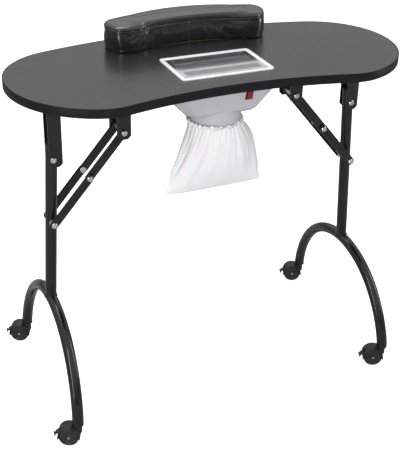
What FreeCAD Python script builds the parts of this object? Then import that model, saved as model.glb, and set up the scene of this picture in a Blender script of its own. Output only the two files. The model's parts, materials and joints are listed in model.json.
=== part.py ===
import FreeCAD, Part
import math
import os

from FreeCAD import Placement, Rotation, Vector

# Folding manicure table with a built-in dust collector. Millimetres, +Z up, +X along the top,
# -Y towards the curved-in working side. Pieces are drawn about the plane of the legs and are
# then set forward a little together, because the casters all trail to the left and the back.

os.makedirs("parts", exist_ok=True)
doc = FreeCAD.newDocument("manicure_table")

driving = {
    "top_height": 782.0, "top_thick": 20.0, "band_thick": 2.0,
    "back_reach": 215.3, "back_radius": 1304.0, "back_sweep": 14.6,
    "shoulder_radius": 167.5, "shoulder_sweep": 65.1, "lobe_radius": 204.0, "lobe_sweep": 81.3,
    "horn_radius": 112.5, "horn_sweep": 33.2, "set_back": 8.4,
    "rest_mid_radius": 500.0, "rest_mid_reach": 163.0, "rest_half_depth": 43.0,
    "rest_half_angle": 22.1, "rest_offset": 3.5, "rest_corner": 33.0, "rest_board_thick": 5.0, "rest_height": 62.0,
    "rest_crown": 9.0,
    "grille_mid": -35.5, "grille_long": 215.0, "grille_deep": 140.0, "grille_lip": 9.0,
    "lip_thick": 2.5, "plate_thick": 1.5, "slot_wide": 2.6, "slot_long": 27.0,
    "slot_pitch": 6.0, "slot_count": 29.0, "row_pitch": 36.0, "skirt_wall": 3.2, "skirt_deep": 12.0,
    "fan_mid": -37.0, "shell_wall": 2.5, "shell_top_half": 132.0, "shell_low_half": 92.0,
    "shell_top_reach": 70.0, "shell_low_reach": 58.0, "shell_corner": 22.0, "shell_skirt": 15.0,
    "shell_low": 695.0, "shell_bottom": 687.0, "shell_bevel": 8.0, "flange_wide": 13.0,
    "duct_radius": 57.5, "duct_wall": 2.5, "duct_bottom": 660.0,
    "motor_radius": 27.0, "motor_tall": 32.0, "blade_radius": 52.0, "hub_radius": 14.0,
    "blade_count": 7.0, "shaft_radius": 2.5, "switch_reach": 49.0, "switch_level": 731.0,
    "bag_wide": 120.0, "bag_bottom": 487.0,
    "tube_radius": 13.0, "tube_wall": 1.5, "splay": 3.17, "post_reach": 357.6,
    "left_hinge": 607.0, "right_hinge": 635.0, "tube_end": 52.5,
    "left_plate_shift": 6.0, "right_plate_shift": 2.5,
    "crown_radius": 208.0, "crown_top": 257.0, "crown_sweep": 50.0, "leg_radius": 262.0,
    "leg_sweep": 29.0, "ankle_radius": 40.0, "ankle_sweep": 11.0,
    "plate_steel": 3.0, "hinge_wide": 30.0, "hinge_drop": 18.0, "foot_out": 20.0,
    "brace_steel": 2.5, "brace_wide": 32.0, "brace_drop": 16.0, "link_wide": 20.0,
    "brace_out": 157.0, "brace_up": 43.0, "brace_arm": 152.0, "upper_share": 0.49,
    "upper_layer": 22.0, "lower_layer": 24.8, "bolt_radius": 4.0, "head_radius": 6.8,
    "head_thick": 4.5, "running_gap": 0.05, "screw_radius": 2.0,
    "wheel_radius": 22.5, "wheel_wide": 12.5, "caster_trail": 20.4, "caster_half": 16.5,
    "caster_turn": 24.3,
    "hood_wall": 2.4, "stem_radius": 4.0, "stem_low": 38.6, "stem_top": 78.0,
}

sheet = doc.addObject("Spreadsheet::Sheet", "Dims")
for line, (word, value) in enumerate(driving.items(), start=1):
    sheet.set(f"A{line}", word)
    sheet.set(f"B{line}", str(value))
    sheet.setAlias(f"B{line}", word)
doc.recompute()

nodes = {}


def dim(word):
    return float(sheet.get(word))


def keep(label, obj):
    obj.Label = label
    nodes[label] = obj
    return obj


def origin_plane(body, role):
    return next(item for item in body.Origin.OriginFeatures if item.Role == role)


def sketch_on(body, name, role="XY_Plane", height="0"):
    sketch = body.newObject("Sketcher::SketchObject", name)
    sketch.AttachmentSupport = [(origin_plane(body, role), "")]
    sketch.MapMode = "FlatFace"
    sketch.setExpression("AttachmentOffset.Base.z", height)
    return sketch


def new_body(label):
    body = doc.addObject("PartDesign::Body", label)
    body.Label = label
    return body


def pad(body, sketch, length, reverse=False):
    feature = body.newObject("PartDesign::Pad", sketch.Name + "_pad")
    feature.Profile = sketch
    feature.setExpression("Length", length)
    feature.Reversed = reverse
    body.Tip = feature
    return feature


def pocket(body, sketch, length, reverse=False):
    feature = body.newObject("PartDesign::Pocket", sketch.Name + "_cut")
    feature.Profile = sketch
    feature.setExpression("Length", length)
    feature.Reversed = reverse
    body.Tip = feature
    return feature


def polygon(sketch, points):
    closed = points + points[:1]
    for first, second in zip(closed, closed[1:]):
        sketch.addGeometry(Part.LineSegment(Vector(*first, 0), Vector(*second, 0)), False)


def circle(sketch, x, y, radius):
    sketch.addGeometry(Part.Circle(Vector(x, y, 0), Vector(0, 0, 1), radius), False)


def rounded_box(sketch, half_x, half_y, corner, mid_y=0.0):
    # Four lines and four quarter arcs, anticlockwise.
    inner_x, inner_y = half_x - corner, half_y - corner
    for sign_x, sign_y, start in ((1, 1, 0), (-1, 1, 90), (-1, -1, 180), (1, -1, 270)):
        centre = Vector(sign_x * inner_x, mid_y + sign_y * inner_y, 0)
        arc = Part.ArcOfCircle(Part.Circle(centre, Vector(0, 0, 1), corner),
                               math.radians(start), math.radians(start + 90))
        sketch.addGeometry(arc, False)
    for sign in (1, -1):
        sketch.addGeometry(Part.LineSegment(Vector(-inner_x, mid_y + sign * half_y, 0),
                                            Vector(inner_x, mid_y + sign * half_y, 0)), False)
        sketch.addGeometry(Part.LineSegment(Vector(sign * half_x, mid_y - inner_y, 0),
                                            Vector(sign * half_x, mid_y + inner_y, 0)), False)


def turned(label, profile, placement=None):
    # A lathe-turned piece: profile points are (radius, height) about the vertical axis.
    body = new_body(label)
    sketch = sketch_on(body, label + "_profile", "XZ_Plane")
    polygon(sketch, profile)
    feature = body.newObject("PartDesign::Revolution", label + "_turn")
    feature.Profile = sketch
    feature.ReferenceAxis = (sketch, ["V_Axis"])
    feature.Angle = 360
    body.Tip = feature
    if placement:
        body.Placement = placement
    return body


def solid_node(label, shape, placement=None):
    feature = doc.addObject("Part::Feature", label)
    feature.Shape = shape
    if placement:
        feature.Placement = placement
    return keep(label, feature)


def group(label, members):
    doc.recompute()
    compound = doc.addObject("Part::Compound", label)
    compound.Links = members
    return keep(label, compound)


def turn_arcs(start, heading, steps):
    # Tangent arcs from a start point: each step is (radius, degrees turned to the right).
    x, y = start
    arcs = []
    for radius, sweep in steps:
        side = math.radians(heading)
        centre_x = x + radius * math.sin(side)
        centre_y = y - radius * math.cos(side)
        points = []
        for part in (0.0, 0.5, 1.0):
            angle = math.radians(heading - part * sweep)
            points.append(Vector(centre_x - radius * math.sin(angle),
                                 centre_y + radius * math.cos(angle), 0))
        arcs.append(Part.Arc(*points))
        heading -= sweep
        x, y = points[-1].x, points[-1].y
    return arcs, (x, y), heading


def mirrored(arcs):
    flipped = []
    for arc in reversed(arcs):
        half_way = (arc.FirstParameter + arc.LastParameter) / 2
        ends = [arc.value(arc.LastParameter), arc.value(half_way), arc.value(arc.FirstParameter)]
        flipped.append(Part.Arc(*[Vector(-point.x, point.y, point.z) for point in ends]))
    return flipped


def top_outline(inset):
    # Convex back, two round lobes and a curved-in front, all tangent; the front arc closes it.
    steps = [(dim(name + "_radius") - inset, dim(name + "_sweep"))
             for name in ("back", "shoulder", "lobe", "horn")]
    arcs, (x, y), heading = turn_arcs((0, dim("back_reach") - inset), 0, steps)
    over = math.radians(-heading - 180)
    front_radius = x / math.sin(over)
    front_y = y - front_radius * math.cos(over)
    middle = over / 2
    front_middle = Vector(front_radius * math.sin(middle), front_y + front_radius * math.cos(middle), 0)
    arcs.append(Part.Arc(Vector(x, y, 0), front_middle, Vector(0, front_y + front_radius, 0)))
    return arcs + mirrored(arcs)


def rest_outline(inset):
    # A bent bar with rounded corners: outer and inner arcs share one centre behind the sitter.
    middle = dim("rest_mid_radius")
    centre_y = dim("rest_mid_reach") - middle
    outer = middle + dim("rest_half_depth") - inset
    inner = middle - dim("rest_half_depth") + inset
    corner = dim("rest_corner") - inset
    edge = math.radians(dim("rest_half_angle")) - inset / middle
    outer_turn = math.asin(corner / (outer - corner))
    inner_turn = math.asin(corner / (inner + corner))

    def at(radius, angle, off=0.0):
        # off moves the point square to the ray, towards the middle of the bar
        return Vector(radius * math.sin(angle) - off * math.cos(angle),
                      centre_y + radius * math.cos(angle) + off * math.sin(angle), 0)

    right = []
    outer_end = edge - outer_turn
    inner_end = edge - inner_turn
    right.append(Part.Arc(at(outer, 0), at(outer, outer_end / 2), at(outer, outer_end)))
    flat_out = (outer - corner) * math.cos(outer_turn)
    flat_in = (inner + corner) * math.cos(inner_turn)
    hub = at(outer - corner, outer_end)
    bulge = (at(outer, outer_end) - hub) + (at(flat_out, edge) - hub)
    right.append(Part.Arc(at(outer, outer_end), hub + bulge.normalize() * corner, at(flat_out, edge)))
    right.append(Part.LineSegment(at(flat_out, edge), at(flat_in, edge)))
    hub = at(inner + corner, inner_end)
    bulge = (at(flat_in, edge) - hub) + (at(inner, inner_end) - hub)
    right.append(Part.Arc(at(flat_in, edge), hub + bulge.normalize() * corner, at(inner, inner_end)))
    right.append(Part.Arc(at(inner, inner_end), at(inner, inner_end / 2), at(inner, 0)))
    left = []
    for piece in reversed(right):
        half_way = (piece.FirstParameter + piece.LastParameter) / 2
        ends = [piece.value(piece.LastParameter), piece.value(half_way), piece.value(piece.FirstParameter)]
        flipped = [Vector(-point.x, point.y, 0) for point in ends]
        if isinstance(piece, Part.LineSegment):
            left.append(Part.LineSegment(flipped[0], flipped[2]))
        else:
            left.append(Part.Arc(*flipped))
    return right + left


def add_outline(sketch, pieces):
    for piece in pieces:
        if isinstance(piece, Part.Arc):
            shape = piece.toShape()
            piece = shape.Curve.trim(*shape.ParameterRange)
        sketch.addGeometry(piece, False)


# --- places that several pieces share ---

underside = dim("top_height") - dim("top_thick")
splay = math.radians(dim("splay"))
sides = {"left": -1, "right": 1}
hinge_level = {side: dim(side + "_hinge") for side in sides}
hinge_reach = {side: dim("post_reach") + (dim("top_height") - hinge_level[side]) * math.tan(splay)
               for side in sides}
arm = dim("brace_arm")
leg_pin = Vector(dim("brace_out") + arm * math.sin(splay), 0, dim("brace_up") + arm * math.cos(splay))
brace_length = leg_pin.Length
upper_length = brace_length * dim("upper_share")
lower_length = brace_length - upper_length
brace_lean = math.degrees(math.atan2(leg_pin.z, leg_pin.x))


def inward(side, x, z):
    # A point given from the hinge bolt: x towards the middle of the table, z up.
    return Vector(sides[side] * (hinge_reach[side] - x), 0, hinge_level[side] + z)


def leg_frame(side):
    # Drawn standing straight with the hinge bolt at the origin, then splayed outwards.
    return Placement(inward(side, 0, 0), Rotation(Vector(0, 1, 0), -sides[side] * dim("splay")))


bracket_feet = [(x, y) for x in (-10, 10) for y in (-1, 1)]
hinge_foot = dim("tube_radius") + 0.3 + dim("plate_steel") + dim("foot_out") / 2
brace_foot = dim("lower_layer") + dim("brace_steel") + dim("foot_out") / 2
bracket_screw_spots = []
for side in sides:
    for x, y in bracket_feet:
        bracket_screw_spots.append((inward(side, 0, 0).x + dim(side + "_plate_shift") + x, y * hinge_foot))
        bracket_screw_spots.append((inward(side, dim("brace_out"), 0).x + x * 0.8, y * brace_foot))
flange_line = dim("shell_top_half") + dim("flange_wide") / 2
housing_screw_spots = [(sign * flange_line, dim("fan_mid") + y) for sign in (-1, 1) for y in (-40, 0, 40)]
rest_screw_spots = []
for angle in (-14, 0, 14):
    turn = math.radians(angle)
    rest_screw_spots.append((dim("rest_offset") + dim("rest_mid_radius") * math.sin(turn),
                             dim("rest_mid_reach") - dim("rest_mid_radius") * (1 - math.cos(turn))))

# --- table top ---


def make_tabletop():
    body = new_body("tabletop")
    outline = sketch_on(body, "tabletop_outline", height="Dims.top_height - Dims.top_thick")
    add_outline(outline, top_outline(dim("band_thick")))
    pad(body, outline, "Dims.top_thick")
    opening = sketch_on(body, "tabletop_opening", height="Dims.top_height - Dims.top_thick")
    rounded_box(opening, dim("grille_long") / 2 - 8, dim("grille_deep") / 2 - 8, 5, dim("grille_mid"))
    pocket(body, opening, "Dims.top_thick", reverse=True)
    pilots = sketch_on(body, "tabletop_pilots", height="Dims.top_height - Dims.top_thick")
    for x, y in bracket_screw_spots + housing_screw_spots:
        circle(pilots, x, y, dim("screw_radius") + 0.1)
    pocket(body, pilots, "13", reverse=True)
    through = sketch_on(body, "tabletop_through", height="Dims.top_height - Dims.top_thick")
    for x, y in rest_screw_spots:
        circle(through, x, y, dim("screw_radius") + 0.1)
    pocket(body, through, "Dims.top_thick", reverse=True)
    keep("tabletop", body)


def make_edge_band():
    body = new_body("edge_band")
    ring = sketch_on(body, "edge_band_ring", height="Dims.top_height - Dims.top_thick")
    add_outline(ring, top_outline(0.0))
    add_outline(ring, top_outline(dim("band_thick") - 0.05))
    pad(body, ring, "Dims.top_thick")
    keep("edge_band", body)


def make_armrest():
    board = new_body("armrest_board")
    board_plan = sketch_on(board, "armrest_board_plan", height="Dims.top_height")
    add_outline(board_plan, rest_outline(4.0))
    for x, y in rest_screw_spots:
        circle(board_plan, x - dim("rest_offset"), y, dim("screw_radius") + 0.1)
    pad(board, board_plan, "Dims.rest_board_thick")
    keep("armrest_board", board)
    cushion = new_body("armrest_cushion")
    plan = sketch_on(cushion, "armrest_cushion_plan", height="Dims.top_height + Dims.rest_board_thick")
    add_outline(plan, rest_outline(0.0))
    pad(cushion, plan, "Dims.rest_height - Dims.rest_board_thick")
    doc.recompute()
    body_pad = cushion.Tip
    top = dim("top_height") + dim("rest_height")
    rims = [f"Edge{index}" for index, edge in enumerate(body_pad.Shape.Edges, start=1)
            if all(abs(vertex.Point.z - top) < 0.01 for vertex in edge.Vertexes)]
    crown = cushion.newObject("PartDesign::Fillet", "armrest_crown")
    crown.Base = (body_pad, rims)
    crown.setExpression("Radius", "Dims.rest_crown")
    cushion.Tip = crown
    keep("armrest_cushion", cushion)
    for body in (board, cushion):
        body.Placement = Placement(Vector(dim("rest_offset"), 0, 0), Rotation())


# --- grille ---


def make_grille():
    half_x, half_y = dim("grille_long") / 2, dim("grille_deep") / 2
    mid = dim("grille_mid")
    hole_x, hole_y = half_x - 8.3, half_y - 8.3
    frame = new_body("grille_frame")
    lip = sketch_on(frame, "grille_lip_plan", height="Dims.top_height")
    rounded_box(lip, half_x, half_y, 9, mid)
    rounded_box(lip, half_x - dim("grille_lip"), half_y - dim("grille_lip"), 4, mid)
    pad(frame, lip, "Dims.lip_thick")
    skirt = sketch_on(frame, "grille_skirt_plan", height="Dims.top_height")
    rounded_box(skirt, hole_x, hole_y, 4.7, mid)
    rounded_box(skirt, hole_x - dim("skirt_wall"), hole_y - dim("skirt_wall"), 1.5, mid)
    pad(frame, skirt, "Dims.skirt_deep", reverse=True)
    keep("grille_frame", frame)

    plate = new_body("grille_plate")
    plan = sketch_on(plate, "grille_plate_plan", height="Dims.top_height")
    rounded_box(plan, half_x - dim("grille_lip") - 0.3, half_y - dim("grille_lip") - 0.3, 3.7, mid)
    pad(plate, plan, "Dims.plate_thick")
    slots = sketch_on(plate, "grille_slots", height="Dims.top_height")
    first = -dim("slot_pitch") * (dim("slot_count") - 1) / 2
    half_wide = dim("slot_wide") / 2
    half_long = dim("slot_long") / 2
    for row in (-1, 0, 1):
        y = mid + row * dim("row_pitch")
        polygon(slots, [(first - half_wide, y - half_long), (first + half_wide, y - half_long),
                        (first + half_wide, y + half_long), (first - half_wide, y + half_long)])
    cut = pocket(plate, slots, "Dims.plate_thick", reverse=True)
    row_of_slots = plate.newObject("PartDesign::LinearPattern", "grille_slot_rows")
    row_of_slots.Originals = [cut]
    row_of_slots.Direction = (slots, ["H_Axis"])
    row_of_slots.setExpression("Length", "Dims.slot_pitch * (Dims.slot_count - 1)")
    row_of_slots.setExpression("Occurrences", "Dims.slot_count")
    plate.Tip = row_of_slots
    keep("grille_plate", plate)


# --- dust collector ---


def octagon(half_x, reach, level, inset=0.0):
    corner = dim("shell_corner") - inset * 0.586
    mid = dim("fan_mid")
    x, y = half_x - inset, reach - inset
    plan = [(x, corner - y), (x, y - corner), (x - corner, y), (corner - x, y),
            (-x, y - corner), (-x, corner - y), (corner - x, -y), (x - corner, -y)]
    points = [Vector(px, mid + py, level) for px, py in plan]
    return Part.makePolygon(points + points[:1])


def hopper(inset, top, bottom_extra):
    crease = underside - dim("shell_skirt")
    low, bottom = dim("shell_low"), dim("shell_bottom") + bottom_extra
    bevel = dim("shell_bevel")
    share = bottom_extra / (dim("shell_low") - dim("shell_bottom"))
    end_x = dim("shell_low_half") - bevel * (1 - share)
    end_y = dim("shell_low_reach") - bevel * (1 - share)
    rings = [(dim("shell_top_half"), dim("shell_top_reach"), top),
             (dim("shell_top_half"), dim("shell_top_reach"), crease),
             (dim("shell_low_half"), dim("shell_low_reach"), low), (end_x, end_y, bottom)]
    stages = [Part.makeLoft([octagon(*first, inset), octagon(*second, inset)], True, True)
              for first, second in zip(rings, rings[1:])]
    return stages[0].multiFuse(stages[1:]).removeSplitter()


def face_frame():
    # On the tapered front wall: x along the wall, y up it, z square out of it.
    run = dim("shell_top_reach") - dim("shell_low_reach")
    rise = underside - dim("shell_skirt") - dim("shell_low")
    tilt = math.degrees(math.atan2(run, rise))
    reach = dim("shell_low_reach") + run * (dim("switch_level") - dim("shell_low")) / rise
    base = Vector(dim("switch_reach"), dim("fan_mid") - reach, dim("switch_level"))
    return Placement(base, Rotation(Vector(1, 0, 0), 90 + tilt))


def centred_box(wide, tall, deep, low):
    return Part.makeBox(wide, tall, deep, Vector(-wide / 2, -tall / 2, low))


inlet_frame = Placement(Vector(60, dim("fan_mid") + dim("shell_top_reach"), 751),
                        Rotation(Vector(1, 0, 0), -90))


def make_fan_housing():
    wall = dim("shell_wall")
    shell = hopper(0.0, underside, 0.0).cut(hopper(wall, underside + 1, wall))
    rim = dim("flange_wide")
    flange = Part.Face(octagon(dim("shell_top_half") + rim, dim("shell_top_reach") + 0.01, underside - 2.5))
    flange = flange.extrude(Vector(0, 0, 2.5))
    hollow = Part.Face(octagon(dim("shell_top_half"), dim("shell_top_reach"), underside - 4, wall))
    shell = shell.fuse(flange.cut(hollow.extrude(Vector(0, 0, 8))))
    mouth = Part.makeCylinder(dim("duct_radius") - dim("duct_wall"), 20,
                              Vector(0, dim("fan_mid"), dim("shell_bottom") - 8))
    shell = shell.cut(mouth)
    window = centred_box(13.4, 19.4, 12, -8)
    window.Placement = face_frame()
    shell = shell.cut(window)
    jack = Part.makeCylinder(6.1, 12, Vector(0, 0, -8))
    jack.Placement = inlet_frame
    shell = shell.cut(jack)
    for x, y in housing_screw_spots:
        shell = shell.cut(Part.makeCylinder(dim("screw_radius") + 0.1, 4, Vector(x, y, underside - 3.5)))
    solid_node("fan_housing", shell.removeSplitter())


def make_outlet_duct():
    low, high = dim("duct_bottom"), dim("shell_bottom")
    outer = dim("duct_radius")
    bore = outer - dim("duct_wall")
    mid = Vector(0, dim("fan_mid"), 0)
    ring = Part.makeCylinder(outer, high - low, mid + Vector(0, 0, low))
    bead = Part.makeTorus(outer, 1.2, mid + Vector(0, 0, low + 2.2))
    ring = ring.fuse(bead).cut(Part.makeCylinder(bore, high - low, mid + Vector(0, 0, low)))
    spider = Part.makeCylinder(16, 3, mid + Vector(0, 0, high - 3))
    for turn in (90, 210, 330):
        spoke = Part.makeBox(bore - 8, 8, 3, Vector(9, -4, high - 3))
        spoke.rotate(Vector(0, 0, 0), Vector(0, 0, 1), turn)
        spoke.translate(mid)
        spider = spider.fuse(spoke)
    spider = spider.cut(Part.makeCylinder(dim("shaft_radius") + 0.8, 3, mid + Vector(0, 0, high - 3)))
    solid_node("outlet_duct", ring.fuse(spider).removeSplitter())


def make_fan():
    mid = Vector(0, dim("fan_mid"), 0)
    shaft = dim("shaft_radius")
    base = dim("shell_bottom")
    can = dim("motor_radius")
    tall = dim("motor_tall")
    bore = shaft + dim("running_gap")
    motor = turned("fan_motor", [(bore, 0), (can - 2, 0), (can, 2), (can, tall - 3), (can - 3, tall),
                                 (8, tall), (8, tall + 3), (0, tall + 3), (0, 10), (bore, 10)],
                   Placement(mid + Vector(0, 0, base), Rotation()))
    keep("fan_motor", motor)
    impeller = new_body("fan_impeller")
    hub = sketch_on(impeller, "impeller_hub")
    circle(hub, 0, 0, dim("hub_radius"))
    pad(impeller, hub, "13")
    spindle = sketch_on(impeller, "impeller_shaft")
    circle(spindle, 0, 0, shaft)
    pad(impeller, spindle, "27")
    section = sketch_on(impeller, "impeller_blade", "YZ_Plane", "10")
    polygon(section, [(-9, 1), (-7, 1), (9, 12), (7, 12)])
    blade = pad(impeller, section, "Dims.blade_radius - 10")
    fan = impeller.newObject("PartDesign::PolarPattern", "impeller_blades")
    fan.Originals = [blade]
    fan.Axis = (hub, ["N_Axis"])
    fan.Angle = 360
    fan.setExpression("Occurrences", "Dims.blade_count")
    impeller.Tip = fan
    impeller.Placement = Placement(mid + Vector(0, 0, dim("duct_bottom") + 6), Rotation())
    keep("fan_impeller", impeller)


def make_switch():
    body = centred_box(17, 23, 1.6, 0.0).fuse(centred_box(13, 19, 9, -9.0))
    body = body.cut(centred_box(11.8, 17.8, 12, -6.0))
    solid_node("switch_body", body.removeSplitter(), face_frame())
    # Two-faced rocker tipped to its off side, with a pivot pin that stands out at both ends.
    profile = [(-8.4, 1.0), (-8.4, 4.4), (0, 3.0), (8.4, 4.4), (8.4, 1.0), (0, -1.4)]
    tip = Rotation(Vector(1, 0, 0), -6)
    points = [tip.multVec(Vector(-5.6, y, z)) for y, z in profile]
    rocker = Part.Face(Part.makePolygon(points + points[:1])).extrude(Vector(11.2, 0, 0))
    pin = Part.makeCylinder(1.5, 11.7, Vector(-5.85, 0, 0), Vector(1, 0, 0))
    solid_node("switch_rocker", rocker.fuse(pin), face_frame())


def make_power_inlet():
    barrel = Part.makeCylinder(6.0, 11, Vector(0, 0, -9)).fuse(Part.makeCylinder(8, 2, Vector(0, 0, 0)))
    barrel = barrel.cut(Part.makeCylinder(2.75, 9.5, Vector(0, 0, -7.5)))
    solid_node("power_inlet", barrel.removeSplitter(), inlet_frame)


def make_dust_bag():
    mid = dim("fan_mid")
    reach = dim("bag_wide")
    mouth = dim("duct_radius") + 1.6
    mouth_level, bottom = dim("duct_bottom") - 8, dim("bag_bottom")
    drop = mouth_level - bottom
    levels = [(mouth_level, mouth, mouth), (mouth_level - 0.17 * drop, 80, 56),
              (mouth_level - 0.48 * drop, 98, 52), (mouth_level - 0.79 * drop, 112, 40),
              (bottom, reach, 9)]
    rings = []
    for level, half_x, half_y in levels:
        ellipse = Part.Ellipse(Vector(0, mid, level), max(half_x, half_y + 0.01), half_y)
        rings.append(Part.Wire(ellipse.toShape()))
    solid_node("dust_bag", Part.makeLoft(rings, True, False))
    low = dim("duct_bottom") - 7.5
    # Clear of the duct's bead, inside and out.
    ring = dim("duct_radius") + 1.6
    elastic = turned("bag_elastic", [(ring, low + 7.7), (ring + 0.8, low), (ring + 3, low + 2),
                                     (ring + 3.5, low + 8), (ring + 2.4, low + 14), (ring, low + 14)],
                     Placement(Vector(0, mid, 0), Rotation()))
    keep("bag_elastic", elastic)


# --- folding legs ---


def leg_arcs():
    crown = dim("crown_top")
    steps = [(dim("crown_radius"), dim("crown_sweep")), (dim("leg_radius"), dim("leg_sweep")),
             (dim("ankle_radius"), dim("ankle_sweep"))]
    arcs, end, _ = turn_arcs((0, crown), 0, steps)
    return arcs, end


def leg_curve(side):
    # The arched tube's centre line in the plane of the leg, heights from the hinge bolt.
    arcs, (foot, low) = leg_arcs()
    drop = hinge_level[side] / math.cos(splay)
    end = Vector(foot, dim("tube_end"), 0)
    flat = mirrored(arcs) + arcs

    def stand(point):
        return Vector(0, point.x, point.y - drop)

    edges = [Part.LineSegment(stand(Vector(-end.x, end.y, 0)), stand(Vector(-foot, low, 0))).toShape()]
    for arc in flat:
        points = [arc.value(arc.FirstParameter), arc.value((arc.FirstParameter + arc.LastParameter) / 2),
                  arc.value(arc.LastParameter)]
        edges.append(Part.Arc(*[stand(point) for point in points]).toShape())
    edges.append(Part.LineSegment(stand(Vector(foot, low, 0)), stand(end)).toShape())
    return Part.Wire(edges), stand(Vector(-end.x, end.y, 0))


def swept_tube(path, start, radius):
    ring = Part.Wire(Part.makeCircle(radius, start, Vector(0, 0, 1)))
    return path.makePipeShell([ring], True, False)


def make_leg(side):
    radius = dim("tube_radius")
    wall = dim("tube_wall")
    frame = leg_frame(side)
    path, start = leg_curve(side)
    skin = swept_tube(path, start, radius)
    core = swept_tube(path, start, radius - wall)
    solid_node(f"{side}_foot_arch", skin.cut(core), frame)

    post = new_body(f"{side}_post_tube")
    low = dim("crown_top") - hinge_level[side] / math.cos(splay) + 5
    section = sketch_on(post, f"{side}_post_section", height=str(low))
    circle(section, 0, 0, radius)
    circle(section, 0, 0, radius - wall)
    pad(post, section, str(28 - low))
    holes = sketch_on(post, f"{side}_post_holes", "XZ_Plane", "-20")
    circle(holes, 0, 0, dim("bolt_radius") + dim("running_gap"))
    circle(holes, 0, -arm, dim("bolt_radius") + dim("running_gap"))
    pocket(post, holes, "40", reverse=True)
    doc.recompute()
    saddle = Part.makeTorus(dim("crown_radius"), radius + 0.02,
                            Vector(0, 0, low - 5 - dim("crown_radius")), Vector(1, 0, 0))
    solid_node(f"{side}_post", post.Shape.cut(saddle), frame)
    cap = turned(f"{side}_post_cap", [(0, 19), (11.3, 19), (11.3, 28), (radius, 28), (radius, 30),
                                      (10, 32.5), (0, 33.5)], frame)
    keep(f"{side}_post_cap", cap)


def head_profile(grip):
    # Half section of a domed head with a dimple, from its rim to its middle.
    cap, thick = dim("head_radius"), dim("head_thick")
    return [(cap, grip), (cap, grip + thick - 1.8), (cap - 1.6, grip + thick),
            (2.8, grip + thick), (2.2, grip + thick - 1.2), (0, grip + thick - 1.2)]


def bolt_profile(grip):
    # Half section of a bolt along its axis, centred on its grip, with a head at each end.
    head = head_profile(grip)
    shank = dim("bolt_radius")
    return [(x, -y) for x, y in reversed(head)] + [(shank, -grip), (shank, grip)] + head


along_y = Rotation(Vector(1, 0, 0), -90)


def spacer_profile(inner, outer, low, high):
    return [(inner, low), (outer, low), (outer, high), (inner, high)]


def make_bolts():
    hinge_grip = dim("tube_radius") + 0.3 + dim("plate_steel")
    brace_grip = dim("lower_layer") + dim("brace_steel")
    hinge_bolts = []
    for side in sides:
        spot = Placement(inward(side, 0, 0), along_y)
        hinge_bolts.append(turned(f"{side}_hinge_bolt", bolt_profile(hinge_grip), spot))
    group("hinge_bolts", hinge_bolts)
    upper = []
    for side in sides:
        spot = Placement(inward(side, dim("brace_out"), dim("brace_up")), along_y)
        upper.append(turned(f"{side}_upper_bolt", bolt_profile(brace_grip), spot))
        tube = dim("upper_layer") - 0.3
        upper.append(turned(f"{side}_upper_spacer", spacer_profile(4.2, 7, -tube, tube), spot))
    group("upper_brace_bolts", upper)
    for side in sides:
        spot = leg_frame(side).multiply(Placement(Vector(0, 0, -arm), along_y))
        members = [turned(f"{side}_lower_bolt", bolt_profile(brace_grip), spot)]
        reach = dim("tube_radius") + 0.05
        outer = dim("lower_layer") - 0.3
        for name, low, high in (("front", -outer, -reach), ("rear", reach, outer)):
            members.append(turned(f"{side}_{name}_spacer", spacer_profile(4.2, 8, low, high), spot))
        group(f"{side}_lower_brace_bolt", members)


def make_bracket(label, spot, gap, steel, wide, bottom, hole, shift=0.0):
    # A pair of angle plates that hang beside the leg, each with a screw foot.
    x, level = spot.x, spot.z
    out = gap + steel + dim("foot_out")
    body = new_body(label)
    section = sketch_on(body, label + "_section", "YZ_Plane", str(shift - wide / 2))
    top = underside
    polygon(section, [(-out, top), (-out, top - steel), (-gap - steel, top - steel), (-gap - steel, bottom),
                      (-gap, bottom), (-gap, top - steel), (gap, top - steel), (gap, bottom),
                      (gap + steel, bottom), (gap + steel, top - steel), (out, top - steel), (out, top)])
    pad(body, section, str(wide))
    bores = sketch_on(body, label + "_bores", "XZ_Plane", str(-out))
    circle(bores, 0, level, hole)
    ease = wide * 0.24
    for hand in (-1, 1):
        edge_x = shift + hand * (wide / 2 + 1)
        polygon(bores, [(edge_x, bottom - 1), (edge_x, bottom + ease + 1),
                        (edge_x - hand * (ease + 2), bottom - 1)])
    pocket(body, bores, str(2 * out), reverse=True)
    feet = sketch_on(body, label + "_feet", height=str(top - steel))
    side_out = gap + steel + dim("foot_out") / 2
    for foot_x, foot_y in bracket_feet:
        reach = foot_x + shift if label.endswith("hinge_bracket") else foot_x * 0.8
        circle(feet, reach, foot_y * side_out, dim("screw_radius") + 0.1)
    pocket(body, feet, str(steel), reverse=True)
    body.Placement = Placement(Vector(x, 0, 0), Rotation())
    keep(label, body)


def link_plate(label, length, near, far, low):
    # Flat bar with round ends, lying along +X from its first bolt hole, in its own layer.
    body = new_body(label)
    half = dim("link_wide") / 2
    plan = sketch_on(body, label + "_plan", "XZ_Plane", str(-low))
    plan.addGeometry(Part.LineSegment(Vector(0, half, 0), Vector(length, half, 0)), False)
    plan.addGeometry(Part.LineSegment(Vector(0, -half, 0), Vector(length, -half, 0)), False)
    for x, start in ((0, 90), (length, -90)):
        end_round = Part.Circle(Vector(x, 0, 0), Vector(0, 0, 1), half)
        plan.addGeometry(Part.ArcOfCircle(end_round, math.radians(start), math.radians(start + 180)), False)
    circle(plan, 0, 0, near)
    circle(plan, length, 0, far)
    pad(body, plan, "Dims.brace_steel", reverse=True)
    return body


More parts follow.
